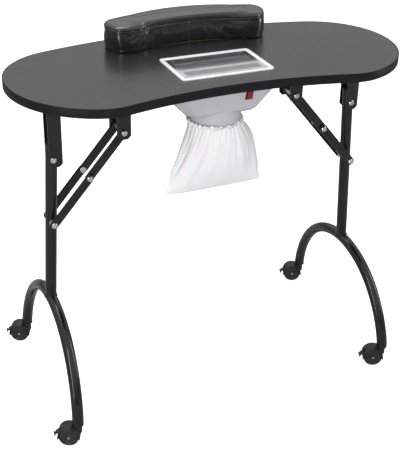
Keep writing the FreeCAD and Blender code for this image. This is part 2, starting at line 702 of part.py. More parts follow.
def make_links(side):
    sign = sides[side]
    run = dim("bolt_radius") + dim("running_gap")
    steel = dim("brace_steel")
    # towards the leg pin from the table pin, as a turn about +Y from +X
    along = 180 - brace_lean if sign < 0 else brace_lean
    upper_spot = inward(side, dim("brace_out"), dim("brace_up"))
    pin = inward(side, dim("brace_out") - leg_pin.x, dim("brace_up") - leg_pin.z)
    for name, spot, length, layer, turn in (("upper", upper_spot, upper_length, "upper_layer", along),
                                            ("lower", pin, lower_length, "lower_layer", along + 180)):
        members = []
        for face, low in (("front", -dim(layer) - steel), ("rear", dim(layer))):
            plate = link_plate(f"{side}_{name}_{face}_link", length, run, run, low)
            plate.Placement = Placement(spot, Rotation(Vector(0, 1, 0), turn))
            members.append(plate)
        group(f"{side}_{name}_links", members)
    toward = (pin - upper_spot).normalize()
    knee = upper_spot + toward * upper_length
    cap, bolt = dim("head_radius"), dim("bolt_radius")
    inner, outer = dim("upper_layer"), dim("lower_layer") + steel
    heads, nuts = [], []
    for face, turn in (("front", 90), ("rear", -90)):
        spot = Placement(knee, Rotation(Vector(1, 0, 0), turn))
        heads.append(turned(f"{side}_{face}_knee_head",
                            [(0, dim("lower_layer") - 0.05), (bolt, dim("lower_layer") - 0.05), (bolt, outer)]
                            + head_profile(outer), spot))
        nuts.append(turned(f"{side}_{face}_knee_nut",
                           [(0, inner - 3.6), (cap - 1.2, inner - 3.6), (cap, inner - 2.8),
                            (cap, inner), (bolt, inner), (bolt, inner + steel + 0.05), (0, inner + steel + 0.05)], spot))
    group(f"{side}_knee_bolts", heads)
    group(f"{side}_knee_nuts", nuts)


def screw_shape(x, y, length, tip):
    head = Part.makeCone(2.9, dim("head_radius") - 2.6, 2.2, Vector(x, y, tip - 2.2))
    return head.fuse(Part.makeCylinder(dim("screw_radius"), length, Vector(x, y, tip)))


def make_screws():
    plate = {"bracket_screws": [], "housing_screws": [], "armrest_screws": []}
    for index, (x, y) in enumerate(bracket_screw_spots):
        steel = dim("plate_steel") if index % 2 == 0 else dim("brace_steel")
        plate["bracket_screws"].append(screw_shape(x, y, 14, underside - steel))
    for x, y in housing_screw_spots:
        plate["housing_screws"].append(screw_shape(x, y, 14, underside - 2.5))
    for x, y in rest_screw_spots:
        plate["armrest_screws"].append(screw_shape(x, y, 24.5, underside))
    for label, shapes in plate.items():
        solid_node(label, Part.makeCompound(shapes))


# --- casters ---


def foot_spot(side, end):
    foot = leg_arcs()[1][0]
    height = dim("tube_end")
    centre = leg_frame(side).multVec(Vector(0, end * foot, height - hinge_level[side] / math.cos(splay)))
    return centre


caster_ends = {"front": -1, "rear": 1}


def make_sockets(side):
    bore = dim("stem_radius") + dim("running_gap")
    members = []
    for name, end in caster_ends.items():
        spot = foot_spot(side, end)
        rim = spot.z - 0.8
        members.append(turned(f"{side}_{name}_socket",
                              [(bore, rim - 1.8), (dim("tube_radius"), rim - 1.8), (dim("tube_radius"), rim),
                               (10.6, rim), (10.6, rim + 8), (6.2, rim + 9), (6.2, rim + 24), (bore, rim + 24)],
                              Placement(Vector(spot.x, spot.y, 0), Rotation())))
    group(f"{side}_caster_sockets", members)


def make_caster(side, name):
    label = f"{name}_{side}_caster"
    spot = foot_spot(side, caster_ends[name])
    where = Placement(Vector(spot.x, spot.y, 0), Rotation(Vector(0, 0, 1), -dim("caster_turn")))
    radius = dim("wheel_radius")
    trail = dim("caster_trail")
    half = dim("caster_half")
    ceiling = spot.z - 3.0
    stem_low = dim("stem_low")
    axis = Vector(-trail, 0, radius)
    across = Vector(0, 1, 0)
    skin = radius + 3.0
    axle_radius = 3.0
    running_gap = dim("running_gap")

    def drum(reach, wide):
        return Part.makeCylinder(reach, 2 * wide, axis - across * wide, across)

    def slab(low, high):
        return Part.makeBox(3 * skin, 3 * half, high - low, Vector(-trail - 1.5 * skin, -1.5 * half, low))

    # Hood: half shell over both wheels, with a shoulder for the stem and a rib between the wheels.
    shell = drum(skin, half).fuse(Part.makeCylinder(9, ceiling - 30, Vector(0, 0, 30)))
    shell = shell.cut(drum(skin - dim("hood_wall"), half + 1)).cut(slab(-4, radius - 4))
    rib = drum(skin - 0.4, 2.9).cut(slab(-6, 8))
    hood = shell.fuse(rib)
    hood = hood.cut(Part.makeCylinder(dim("stem_radius") + running_gap, 60, Vector(0, 0, stem_low)))
    hood = hood.cut(drum(axle_radius + running_gap, half))
    hood = hood.cut(Part.makeBox(12, 15, 16, Vector(-trail - skin - 4, -7.5, radius - 1)))
    solid_node(f"{label}_hood", hood.removeSplitter(), where)

    stem = Part.makeCylinder(dim("stem_radius"), dim("stem_top") - stem_low, Vector(0, 0, stem_low))
    axle = Part.makeCylinder(axle_radius, 2 * half - 1, axis - across * (half - 0.5), across)
    solid_node(f"{label}_pins", Part.makeCompound([stem, axle]), where)

    bore = axle_radius + running_gap
    inner = half - dim("wheel_wide") - 0.5
    wheels = []
    for sign in (-1, 1):
        profile = [(bore, inner), (8, inner), (8, inner + 1), (radius - 1, inner + 1),
                   (radius, inner + 3), (radius, half - 3), (radius - 2.5, half - 0.3),
                   (radius - 6, half - 0.3), (radius - 7, half - 1.8), (bore, half - 1.8)]
        wheel = turned(f"{label}_{'front' if sign < 0 else 'rear'}_wheel", profile,
                       where.multiply(Placement(axis, Rotation(Vector(1, 0, 0), 90 * -sign))))
        wheels.append(wheel)
    group(f"{label}_wheels", wheels)

    # Brake: a rocker in the slot at the trailing end, with a tongue that a toe presses.
    pivot = Vector(-trail - skin + 1.5, 0, radius + 8)
    tongue = [Vector(1, 0, 1.6), Vector(-6, 0, -1.5), Vector(-10, 0, -11), Vector(-8.5, 0, -12),
              Vector(-4.4, 0, -4.5), Vector(1, 0, -1.6)]
    pedal = Part.Face(Part.makePolygon([pivot + point - across * 7.1 for point in tongue + tongue[:1]]))
    pedal = pedal.extrude(across * 14.2)
    hub = Part.makeCylinder(2.4, 14.2, pivot - across * 7.1, across)
    solid_node(f"{label}_brake", pedal.fuse(hub).removeSplitter(), where)


make_tabletop()
make_edge_band()
make_armrest()
make_grille()
make_fan_housing()
make_outlet_duct()
make_fan()
make_switch()
make_power_inlet()
make_dust_bag()
make_bolts()
for side in sides:
    make_leg(side)
    reach = dim("tube_radius") + 0.3
    hinge = inward(side, 0, 0)
    make_bracket(f"{side}_hinge_bracket", hinge, reach, dim("plate_steel"), dim("hinge_wide"),
                 hinge.z - dim("hinge_drop"), dim("bolt_radius") + 0.1, dim(side + "_plate_shift"))
    eye = inward(side, dim("brace_out"), dim("brace_up"))
    make_bracket(f"{side}_brace_bracket", eye, dim("lower_layer"), dim("brace_steel"), dim("brace_wide"),
                 eye.z - dim("brace_drop"), dim("bolt_radius") + 0.1)
    make_links(side)
    make_sockets(side)
    for name in caster_ends:
        make_caster(side, name)
make_screws()
doc.recompute()

# The whole table is set forward, so that its overall box is centred on the origin.
forward = Vector(0, -dim("set_back"), 0)
failed = [obj.Label for obj in doc.Objects if "Invalid" in obj.State or "Error" in obj.State]
if failed:
    raise RuntimeError("failed objects: " + ", ".join(failed))
for label, obj in nodes.items():
    obj.Placement = Placement(obj.Placement.Base + forward, obj.Placement.Rotation)
doc.recompute()
for label, obj in nodes.items():
    shape = obj.Shape
    if shape.isNull() or not shape.isValid() or not shape.Solids:
        raise RuntimeError(f"{label} has no valid solid")
    shape.exportStep(f"parts/{label}.step")
box = Part.makeCompound([obj.Shape for obj in nodes.values()]).BoundBox
print(len(nodes), "nodes", box)
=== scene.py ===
import json
import math

import bmesh
import bpy
import numpy as np
from mathutils import Matrix, Vector, noise

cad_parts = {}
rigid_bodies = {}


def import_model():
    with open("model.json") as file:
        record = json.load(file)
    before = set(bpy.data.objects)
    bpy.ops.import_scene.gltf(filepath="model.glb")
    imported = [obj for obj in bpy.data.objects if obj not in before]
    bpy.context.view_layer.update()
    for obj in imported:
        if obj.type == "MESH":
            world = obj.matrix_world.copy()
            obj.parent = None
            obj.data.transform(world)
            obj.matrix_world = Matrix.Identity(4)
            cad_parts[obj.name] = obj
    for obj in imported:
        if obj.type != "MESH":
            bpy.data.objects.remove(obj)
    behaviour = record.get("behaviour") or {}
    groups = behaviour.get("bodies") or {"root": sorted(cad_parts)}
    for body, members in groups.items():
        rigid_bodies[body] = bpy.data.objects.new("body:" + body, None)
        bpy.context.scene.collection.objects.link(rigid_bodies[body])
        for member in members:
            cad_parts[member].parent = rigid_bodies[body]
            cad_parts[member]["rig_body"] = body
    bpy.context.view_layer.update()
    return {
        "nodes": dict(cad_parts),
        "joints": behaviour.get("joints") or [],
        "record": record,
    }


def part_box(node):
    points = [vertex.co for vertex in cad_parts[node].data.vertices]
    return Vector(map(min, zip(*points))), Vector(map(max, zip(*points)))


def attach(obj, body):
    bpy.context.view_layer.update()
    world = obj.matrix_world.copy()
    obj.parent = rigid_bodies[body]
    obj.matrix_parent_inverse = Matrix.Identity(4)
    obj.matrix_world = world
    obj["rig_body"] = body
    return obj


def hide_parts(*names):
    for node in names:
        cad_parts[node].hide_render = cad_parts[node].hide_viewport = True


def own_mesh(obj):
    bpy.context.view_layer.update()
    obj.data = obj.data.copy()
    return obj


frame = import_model()
scene = bpy.context.scene
nodeBody = {name: node["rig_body"] for name, node in frame["nodes"].items()}
mm = 0.001
print("frame loaded:", len(frame["nodes"]), "nodes")


# Shader maths: an expression on Value objects adds its Math nodes.
class Value:
    def __init__(self, shader, socket):
        self.shader = shader
        self.socket = socket

    def mathNode(self, operation, other, swapped=False):
        pair = (other, self) if swapped else (self, other)
        return self.shader.node("ShaderNodeMath", {"operation": operation}, {0: pair[0], 1: pair[1]})

    def __add__(self, other):
        return self.mathNode("ADD", other)

    def __radd__(self, other):
        return self.mathNode("ADD", other, True)

    def __sub__(self, other):
        return self.mathNode("SUBTRACT", other)

    def __rsub__(self, other):
        return self.mathNode("SUBTRACT", other, True)

    def __mul__(self, other):
        return self.mathNode("MULTIPLY", other)

    def __rmul__(self, other):
        return self.mathNode("MULTIPLY", other, True)


class Shader:
    def __init__(self, name, **fixed):
        self.material = bpy.data.materials.new(name)
        self.material.use_nodes = True
        self.tree = self.material.node_tree
        self.surface = self.tree.nodes["Principled BSDF"]
        for socket, number in fixed.items():
            self.surface.inputs[socket.replace("_", " ")].default_value = number
        self.place = self.node("ShaderNodeTexCoord", {}, {}, "Object")

    def node(self, kind, settings, inputs, output=0):
        made = self.tree.nodes.new(kind)
        for setting, value in settings.items():
            setattr(made, setting, value)
        for socket, value in inputs.items():
            self.feed(made.inputs[socket], value)
        return Value(self, made.outputs[output])

    def feed(self, socket, value):
        if isinstance(value, Value):
            self.tree.links.new(value.socket, socket)
        else:
            socket.default_value = value

    def stretched(self, scale, turn=(0, 0, 0)):
        return self.node("ShaderNodeMapping", {}, {"Vector": self.place, "Scale": scale, "Rotation": turn})

    def noise(self, scale, detail=3.0, roughness=0.55, where=None):
        inputs = {"Vector": where or self.place, "Scale": scale, "Detail": detail, "Roughness": roughness}
        return self.node("ShaderNodeTexNoise", {}, inputs, "Fac")

    def cells(self, scale, feature="F1", where=None):
        return self.node("ShaderNodeTexVoronoi", {"feature": feature},
                         {"Vector": where or self.place, "Scale": scale}, "Distance")

    def ramp(self, value, low, high, start=0.0, end=1.0):
        return self.node("ShaderNodeMapRange", {"interpolation_type": "SMOOTHSTEP"},
                         {0: value, 1: low, 2: high, 3: start, 4: end})

    def tint(self, share, first, second):
        return self.node("ShaderNodeMix", {"data_type": "RGBA"},
                         {"Factor": share, "A": (*first, 1.0), "B": (*second, 1.0)}, "Result")

    def colour(self, value):
        self.feed(self.surface.inputs["Base Color"], value)

    def rough(self, value):
        self.feed(self.surface.inputs["Roughness"], value)

    def bumps(self, *layers, under=None):
        # Each layer is (height, strength, distance); the first lies lowest.
        normal = under
        for height, strength, distance in layers:
            inputs = {"Height": height, "Strength": strength, "Distance": distance}
            if normal:
                inputs["Normal"] = normal
            normal = self.node("ShaderNodeBump", {}, inputs, "Normal")
        self.feed(self.surface.inputs["Normal"], normal)


finish = {}

laminate = {"black": (0.013, 0.013, 0.014), "greyer": (0.022, 0.022, 0.023),
            "roughness": 0.19, "grainPerMetre": 900.0}


def makeLaminate():
    # Satin black laminate: fine pressed grain, with faint wiped patches in its gloss.
    shader = Shader("blackLaminate", Specular_IOR_Level=0.85)
    wiped = shader.noise(7.0, 4.0)
    fibre = shader.noise(60.0, 5.0, 0.65, shader.stretched((0.35, 3.0, 1.0)))
    grain = shader.noise(laminate["grainPerMetre"], 2.0)
    shader.colour(shader.tint(shader.ramp(fibre, 0.35, 0.7), laminate["black"], laminate["greyer"]))
    shader.rough(laminate["roughness"] + wiped * 0.10 + fibre * 0.05)
    shader.bumps((fibre, 0.05, 0.0004), (grain, 0.10, 0.0002))
    return shader.material


def makeEdgeStrip():
    # Soft plastic edging, a little glossier than the laminate, with light handling marks.
    shader = Shader("edgeStrip", Specular_IOR_Level=0.16)
    marks = shader.noise(35.0, 4.0)
    grain = shader.noise(1400.0, 2.0)
    shader.colour(shader.tint(marks, (0.006, 0.006, 0.007), (0.012, 0.012, 0.013)))
    shader.rough(0.34 + marks * 0.16)
    shader.bumps((grain, 0.12, 0.00015))
    return shader.material


def makeBoard():
    # Bare plywood under the padding, with long grain.
    shader = Shader("rawBoard", Specular_IOR_Level=0.3)
    grain = shader.noise(26.0, 6.0, 0.6, shader.stretched((0.6, 7.0, 12.0)))
    shader.colour(shader.tint(grain, (0.06, 0.045, 0.03), (0.12, 0.09, 0.06)))
    shader.rough(0.62 + grain * 0.2)
    shader.bumps((grain, 0.3, 0.0004))
    return shader.material


leather = {"black": (0.0035, 0.0035, 0.004), "dusty": (0.008, 0.008, 0.009), "grainPerMetre": 620.0}


def makeLeatherette():
    # Coated cloth with a pebbled grain, dull in the creases and polished on the crowns.
    shader = Shader("blackLeatherette", Specular_IOR_Level=0.5, Coat_Roughness=0.09, Coat_IOR=1.5)
    pebbles = shader.cells(leather["grainPerMetre"])
    pores = shader.cells(leather["grainPerMetre"] * 2.3)
    soft = shader.noise(22.0, 4.0)
    creases = shader.noise(140.0, 5.0, 0.6, shader.stretched((1.0, 1.0, 0.35)))
    shader.colour(shader.tint(soft * 0.6 + creases * 0.3, leather["black"], leather["dusty"]))
    shader.rough(0.20 + soft * 0.10 + pebbles * 0.06)
    shader.feed(shader.surface.inputs["Coat Weight"], 0.85 - soft * 0.35)
    shader.bumps((creases, 0.14, 0.0007), (pebbles, 0.16, 0.0003), (pores, 0.08, 0.00015))
    return shader.material


def makeTrim():
    # White moulded frame: glossy, with a faint sink and swirl.
    shader = Shader("whiteTrim", Specular_IOR_Level=0.5, Coat_Weight=0.2)
    swirl = shader.noise(30.0, 3.0)
    shader.colour(shader.tint(swirl, (0.82, 0.82, 0.81), (0.90, 0.90, 0.90)))
    shader.rough(0.22 + swirl * 0.12)
    shader.bumps((shader.noise(420.0, 2.0), 0.05, 0.0002))
    return shader.material


plateBow = {"front": 0.062, "sag": 0.45}


def makePlateMetal():
    # Polished plate with fine lines along its length, pressed slightly hollow towards its back.
    shader = Shader("polishedPlate", Metallic=1.0)
    back = shader.node("ShaderNodeSeparateXYZ", {}, {0: shader.place}, "Y") + plateBow["front"]
    past = shader.node("ShaderNodeMath", {"operation": "MAXIMUM"}, {0: back, 1: 0.0})
    bow = past * past * -plateBow["sag"]
    lines = shader.noise(240.0, 4.0, 0.7, shader.stretched((0.04, 4.0, 4.0)))
    smear = shader.noise(16.0, 3.0)
    shader.colour(shader.tint(smear, (0.84, 0.85, 0.87), (0.95, 0.95, 0.96)))
    shader.rough(0.09 + lines * 0.06 + smear * 0.04)
    shader.bumps((bow, 1.0, 1.0), (lines, 0.03, 0.0002))
    return shader.material


shellGrey = {"pale": (0.470, 0.468, 0.505), "deeper": (0.425, 0.423, 0.460), "edge": 0.0008}


def makeShellGrey():
    # Pale lilac-grey moulding with a fine spark finish.
    shader = Shader("greyShell", Specular_IOR_Level=0.4)
    cloud = shader.noise(14.0, 3.0)
    spark = shader.noise(1100.0, 2.0, 0.6)
    shader.colour(shader.tint(shader.ramp(cloud, 0.3, 0.75), shellGrey["pale"], shellGrey["deeper"]))
    shader.rough(0.42 + spark * 0.14)
    softEdge = shader.node("ShaderNodeBevel", {"samples": 6}, {"Radius": shellGrey["edge"]})
    shader.bumps((cloud, 0.05, 0.002), (spark, 0.16, 0.0002), under=softEdge)
    return shader.material


def makeMetal(name, colour, darker, roughness, linesAlong):
    # Plated or drawn steel: bright ground, faint lines and small dull spots.
    shader = Shader(name, Metallic=1.0)
    lines = shader.noise(700.0, 3.0, 0.6, shader.stretched(linesAlong))
    spots = shader.ramp(shader.noise(180.0, 4.0), 0.55, 0.75)
    shader.colour(shader.tint(spots * 0.7 + lines * 0.2, colour, darker))
    shader.rough(roughness + lines * 0.12 + spots * 0.15)
    shader.bumps((lines, 0.10, 0.0001))
    return shader.material


def makeBlackPlastic(name, black, worn, roughness, sparkPerMetre=1500.0):
    # Moulded black plastic with spark texture and paler rubbed patches.
    shader = Shader(name, Specular_IOR_Level=0.45)
    rub = shader.ramp(shader.noise(90.0, 5.0), 0.52, 0.75)
    spark = shader.noise(sparkPerMetre, 2.0, 0.6)
    shader.colour(shader.tint(rub, black, worn))
    shader.rough(roughness + rub * 0.12 + spark * 0.08)
    shader.bumps((spark, 0.22, 0.0002))
    return shader.material


def makeRedButton():
    # Translucent red rocker: deeper at its foot, glossy skin.
    shader = Shader("redButton", Specular_IOR_Level=0.4, Coat_Weight=0.25, Coat_Roughness=0.12)
    depth = shader.noise(160.0, 3.0)
    shader.colour(shader.tint(depth, (0.13, 0.004, 0.005), (0.34, 0.010, 0.010)))
    shader.rough(0.16 + depth * 0.1)
    shader.bumps((shader.noise(900.0, 2.0), 0.06, 0.0002))
    return shader.material


cloth = {"white": (0.78, 0.78, 0.79), "shade": (0.69, 0.69, 0.705), "bondsPerMetre": 640.0}


def makeBagCloth():
    # Spun-bonded cloth: tangled fibres and a regular pattern of small pressed bonds.
    shader = Shader("bagCloth", Specular_IOR_Level=0.15, Sheen_Weight=0.25, Sheen_Roughness=0.6,
                    Subsurface_Weight=0.25, Subsurface_Scale=0.004)
    fibres = shader.noise(420.0, 6.0, 0.75, shader.stretched((1.0, 1.0, 0.45)))
    bonds = shader.ramp(shader.cells(cloth["bondsPerMetre"]), 0.12, 0.45)
    mottle = shader.noise(45.0, 4.0)
    shader.colour(shader.tint(mottle * 0.5 + fibres * 0.3, cloth["white"], cloth["shade"]))
    shader.rough(0.82 + fibres * 0.12)
    shader.bumps((mottle, 0.16, 0.003), (fibres, 0.35, 0.0004), (bonds, 0.18, 0.0003))
    return shader.material


def makeElastic():
    # Cloth over an elastic: close ribs that run down the band, with painted shade in the valleys of its
    # folds.
    shader = Shader("elasticBand", Specular_IOR_Level=0.15, Sheen_Weight=0.3)
    weave = shader.noise(520.0, 4.0, 0.7, shader.stretched((1.0, 1.0, 0.3)))
    foldHeightAndShade = shader.noise(120.0, 3.0, 0.6, shader.stretched((1.0, 1.0, 0.2)))
    # Painted shade: the fold noise turns the white cloth grey-lilac in the fold valleys, and the same noise
    # raises the folds as bump.
    shader.colour(shader.tint(shader.ramp(foldHeightAndShade, 0.3, 0.7), (0.58, 0.57, 0.62), (0.86, 0.86, 0.88)))
    shader.rough(0.78 + weave * 0.15)
    shader.bumps((foldHeightAndShade, 0.3, 0.001), (weave, 0.4, 0.0004))
    return shader.material


enamel = {"black": (0.0050, 0.0050, 0.0055), "rubbed": (0.011, 0.011, 0.012), "peelPerMetre": 170.0}


def makeEnamel():
    # Stoved gloss enamel on steel tube: slight orange peel, dust nibs and dulled patches.
    shader = Shader("blackEnamel", Specular_IOR_Level=0.42, Coat_Roughness=0.05, Coat_IOR=1.45)
    peel = shader.noise(enamel["peelPerMetre"], 2.0, 0.4)
    dull = shader.ramp(shader.noise(24.0, 5.0), 0.48, 0.72)
    nibs = shader.ramp(shader.cells(320.0), 0.0, 0.12, 1.0, 0.0)
    shader.colour(shader.tint(dull, enamel["black"], enamel["rubbed"]))
    shader.rough(0.17 + dull * 0.10)
    shader.feed(shader.surface.inputs["Coat Weight"], 0.35 - dull * 0.2)
    shader.bumps((peel, 0.05, 0.0006), (nibs, 0.05, 0.0002))
    return shader.material


finish["black_laminate"] = makeLaminate()
finish["edge_strip"] = makeEdgeStrip()
finish["board"] = makeBoard()
finish["black_leatherette"] = makeLeatherette()
finish["white_trim"] = makeTrim()
finish["polished_plate"] = makePlateMetal()
finish["grey_shell"] = makeShellGrey()
finish["motor_can"] = makeMetal("motorCan", (0.62, 0.62, 0.63), (0.40, 0.40, 0.42), 0.30, (1.0, 1.0, 0.1))
finish["fan_plastic"] = makeBlackPlastic("fanPlastic", (0.012, 0.012, 0.013), (0.03, 0.03, 0.03), 0.45)
finish["black_plastic"] = makeBlackPlastic("blackPlastic", (0.010, 0.010, 0.011), (0.02, 0.02, 0.02), 0.32)
finish["red_button"] = makeRedButton()
finish["bag_cloth"] = makeBagCloth()
finish["elastic_band"] = makeElastic()
finish["zinc_hardware"] = makeMetal("zincHardware", (0.80, 0.80, 0.79), (0.50, 0.50, 0.50), 0.20, (1, 1, 1))
finish["black_enamel"] = makeEnamel()
finish["caster_plastic"] = makeBlackPlastic("casterPlastic", (0.013, 0.013, 0.014), (0.026, 0.026, 0.027),
                                            0.36)
finish["steel_pins"] = makeMetal("steelPins", (0.66, 0.66, 0.67), (0.42, 0.42, 0.44), 0.26, (1, 1, 0.2))
finish["wheel_tread"] = makeBlackPlastic("wheelTread", (0.016, 0.016, 0.017), (0.040, 0.039, 0.038),
                                         0.48, 900.0)
print("finishes made:", len(finish))

slotOf = {part["node"]: part["material_slot"] for part in frame["record"]["subparts"]}
for name, node in frame["nodes"].items():
    node.data.materials.clear()
    node.data.materials.append(finish[slotOf[name]])


def addPiece(name, mesh, slot, body, replaced=(), sharpAngle=None):
    piece = bpy.data.objects.new(name, mesh)
    scene.collection.objects.link(piece)
    if not mesh.materials:
        mesh.materials.append(finish[slot])
    mesh.shade_smooth()
    if sharpAngle:
        mesh.set_sharp_from_angle(angle=math.radians(sharpAngle))
    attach(piece, body)
    if replaced:
        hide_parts(*replaced)
    return piece


def applyModifiers(piece):
    bpy.context.view_layer.update()
    graph = bpy.context.evaluated_depsgraph_get()
    mesh = bpy.data.meshes.new_from_object(piece.evaluated_get(graph))
    piece.modifiers.clear()
    piece.data = mesh
    return mesh


# Geometry Nodes: a small builder, so that a tree reads as a list of steps.
class Tree:
    def __init__(self, name, **sizes):
        self.group = bpy.data.node_groups.new(name, "GeometryNodeTree")
        self.group.interface.new_socket("Geometry", in_out="INPUT", socket_type="NodeSocketGeometry")
        self.group.interface.new_socket("Geometry", in_out="OUTPUT", socket_type="NodeSocketGeometry")
        self.names = {}
        for word, value in sizes.items():
            kind = "NodeSocketInt" if isinstance(value, int) else "NodeSocketFloat"
            socket = self.group.interface.new_socket(word, in_out="INPUT", socket_type=kind)
            self.names[word] = socket.identifier
        self.sizes = sizes
        self.start = self.group.nodes.new("NodeGroupInput")
        self.end = self.group.nodes.new("NodeGroupOutput")

    def size(self, word):
        return self.start.outputs[word]

    def node(self, kind, settings, inputs, output=0):
        made = self.group.nodes.new(kind)
        for setting, value in settings.items():
            setattr(made, setting, value)
        for socket, value in inputs.items():
            if isinstance(value, bpy.types.NodeSocket):
                self.group.links.new(value, made.inputs[socket])
            else:
                made.inputs[socket].default_value = value
        return made.outputs[output]

    def sums(self, operation, first, second=0.0):
        return self.node("ShaderNodeMath", {"operation": operation}, {0: first, 1: second})

    def vector(self, x=0.0, y=0.0, z=0.0):
        return self.node("ShaderNodeCombineXYZ", {}, {"X": x, "Y": y, "Z": z})

    def close(self, geometry, material):
        real = self.node("GeometryNodeRealizeInstances", {}, {"Geometry": geometry})
        painted = self.node("GeometryNodeSetMaterial", {}, {"Geometry": real, "Material": material})
        self.group.links.new(painted, self.end.inputs[0])

    def grow(self, name, seedMesh=None):
        # Runs the tree on a seed mesh and returns the plain mesh that it makes.
        seed = bpy.data.objects.new(name + "Seed", seedMesh or bpy.data.meshes.new(name + "Seed"))
        scene.collection.objects.link(seed)
        modifier = seed.modifiers.new("nodes", "NODES")
        modifier.node_group = self.group
        for word, identifier in self.names.items():
            modifier[identifier] = self.sizes[word]
        bpy.context.view_layer.update()
        graph = bpy.context.evaluated_depsgraph_get()
        mesh = bpy.data.meshes.new_from_object(seed.evaluated_get(graph))
        mesh.name = name
        bpy.data.objects.remove(seed)
        return mesh


def islandBoxes(nodeName):
    # Lowest and highest corner of each separate solid of a CAD node.
    work = bmesh.new()
    work.from_mesh(frame["nodes"][nodeName].data)
    bmesh.ops.remove_doubles(work, verts=work.verts, dist=1e-6)
    seen, boxes = set(), []
    for vert in work.verts:
        if vert in seen:
            continue
        group, pending = [], [vert]
        seen.add(vert)
        while pending:
            here = pending.pop()
            group.append(here.co.copy())
            for edge in here.link_edges:
                other = edge.other_vert(here)
                if other not in seen:
                    seen.add(other)
                    pending.append(other)
        boxes.append((Vector(map(min, zip(*group))), Vector(map(max, zip(*group)))))
    work.free()
    return boxes


# Hard pieces whose edges need a small round: a merged copy of the CAD shape with a bevel.
edgeRounds = {"edge_band": 1.0, "grille_frame": 0.8,
              "switch_body": 0.35, "switch_rocker": 0.5, "power_inlet": 0.4,
              "hinge_bracket": 0.5, "brace_bracket": 0.5, "upper_links": 0.5, "lower_links": 0.5,
              "hood": 0.45, "wheels": 0.5, "brake": 0.45, "fan_motor": 0.4}


def roundEdges():
    made = 0
    for name, node in frame["nodes"].items():
        width = next((size for word, size in edgeRounds.items() if name.endswith(word)), None)
        if width is None:
            continue
        work = bmesh.new()
        work.from_mesh(node.data)
        bmesh.ops.remove_doubles(work, verts=work.verts, dist=2e-6)
        bmesh.ops.dissolve_limit(work, angle_limit=math.radians(0.6), verts=work.verts, edges=work.edges)
        mesh = bpy.data.meshes.new(name + "Rounded")
        work.to_mesh(mesh)
        work.free()
        mesh.materials.append(finish[slotOf[name]])
        piece = addPiece(name + "Rounded", mesh, slotOf[name], nodeBody[name], (name,))
        bevel = piece.modifiers.new("round", "BEVEL")
        bevel.width = width * mm
        bevel.segments = 2
        bevel.limit_method = "ANGLE"
        bevel.angle_limit = math.radians(38)
        bevel.harden_normals = False
        applyModifiers(piece)
        piece.data.shade_smooth()
        piece.data.set_sharp_from_angle(angle=math.radians(32))
        made += 1
    print("rounded copies:", made)


roundEdges()

collar = {"outer": 0.0577, "inner": 0.0548, "floorReach": 0.050, "bury": 0.0012,
          "overlap": 0.0010, "steps": 120}


def makeDuctCollar():
    # A sleeve that carries the spout up to the sloping edge of the housing's floor.
    low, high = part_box("outlet_duct")
    centreX, centreY = (low.x + high.x) / 2, (low.y + high.y) / 2
    steps = collar["steps"]
    verts = []
    for reach in (collar["outer"], collar["inner"]):
        for step in range(steps):
            angle = 2 * math.pi * step / steps
            x, y = reach * math.cos(angle), reach * math.sin(angle)
            slope = max(abs(y) - collar["floorReach"], 0.0)
            verts.append((centreX + x, centreY + y, high.z - collar["overlap"]))
            verts.append((centreX + x, centreY + y, high.z + slope + collar["bury"]))
    faces = []
    for step in range(steps):
        here, after = 2 * step, 2 * ((step + 1) % steps)
        inHere, inAfter = here + 2 * steps, after + 2 * steps
        faces.append((here, after, after + 1, here + 1))
        faces.append((inAfter, inHere, inHere + 1, inAfter + 1))
        faces.append((here + 1, after + 1, inAfter + 1, inHere + 1))
        faces.append((after, here, inHere, inAfter))
    mesh = bpy.data.meshes.new("ductCollar")
    mesh.from_pydata(verts, [], faces)
    addPiece("ductCollar", mesh, "grey_shell", "table", (), 35)
    print("duct collar made")


makeDuctCollar()

armrest = {"midRadius": 0.500, "halfDepth": 0.043, "halfAngle": 22.1, "gap": 0.0004, "corner": 0.033,
           "seamDrop": 0.0125, "edgeRound": 0.0105, "crown": 0.0012, "bulge": 0.0016,
           "longSteps": 170, "shortSteps": 8, "cornerSteps": 14,
           "pressure": 3.0, "frames": 14, "cap": 0.0022}


def restPlan(inset):
    # A bent bar seen from above, as a ring of points: four sides and four corners.
    halfLong = armrest["midRadius"] * math.radians(armrest["halfAngle"]) - inset
    halfDeep = max(armrest["halfDepth"] - inset, 0.0002)
    corner = min(max(armrest["corner"] - inset, 0.0001), halfDeep * 0.999)
    straight = halfLong - corner
    points = []
    steps, turns, ends = armrest["longSteps"], armrest["cornerSteps"], armrest["shortSteps"]
    for sign in (1, -1):
        for step in range(steps):
            points.append((sign * straight * (2 * step / steps - 1), -sign * halfDeep))
        for step in range(turns):
            angle = math.pi / 2 * step / turns
            points.append((sign * (straight + corner * math.sin(angle)),
                           -sign * (halfDeep - corner + corner * math.cos(angle))))
        for step in range(ends):
            points.append((sign * halfLong, -sign * (halfDeep - corner) * (1 - 2 * step / ends)))
        for step in range(turns):
            angle = math.pi / 2 * step / turns
            points.append((sign * (straight + corner * math.cos(angle)),
                           sign * (halfDeep - corner + corner * math.sin(angle))))
    return points


def bend(along, across, centreX, centreY):
    angle = along / armrest["midRadius"]
    radius = armrest["midRadius"] + across
    return centreX + radius * math.sin(angle), centreY + radius * math.cos(angle)


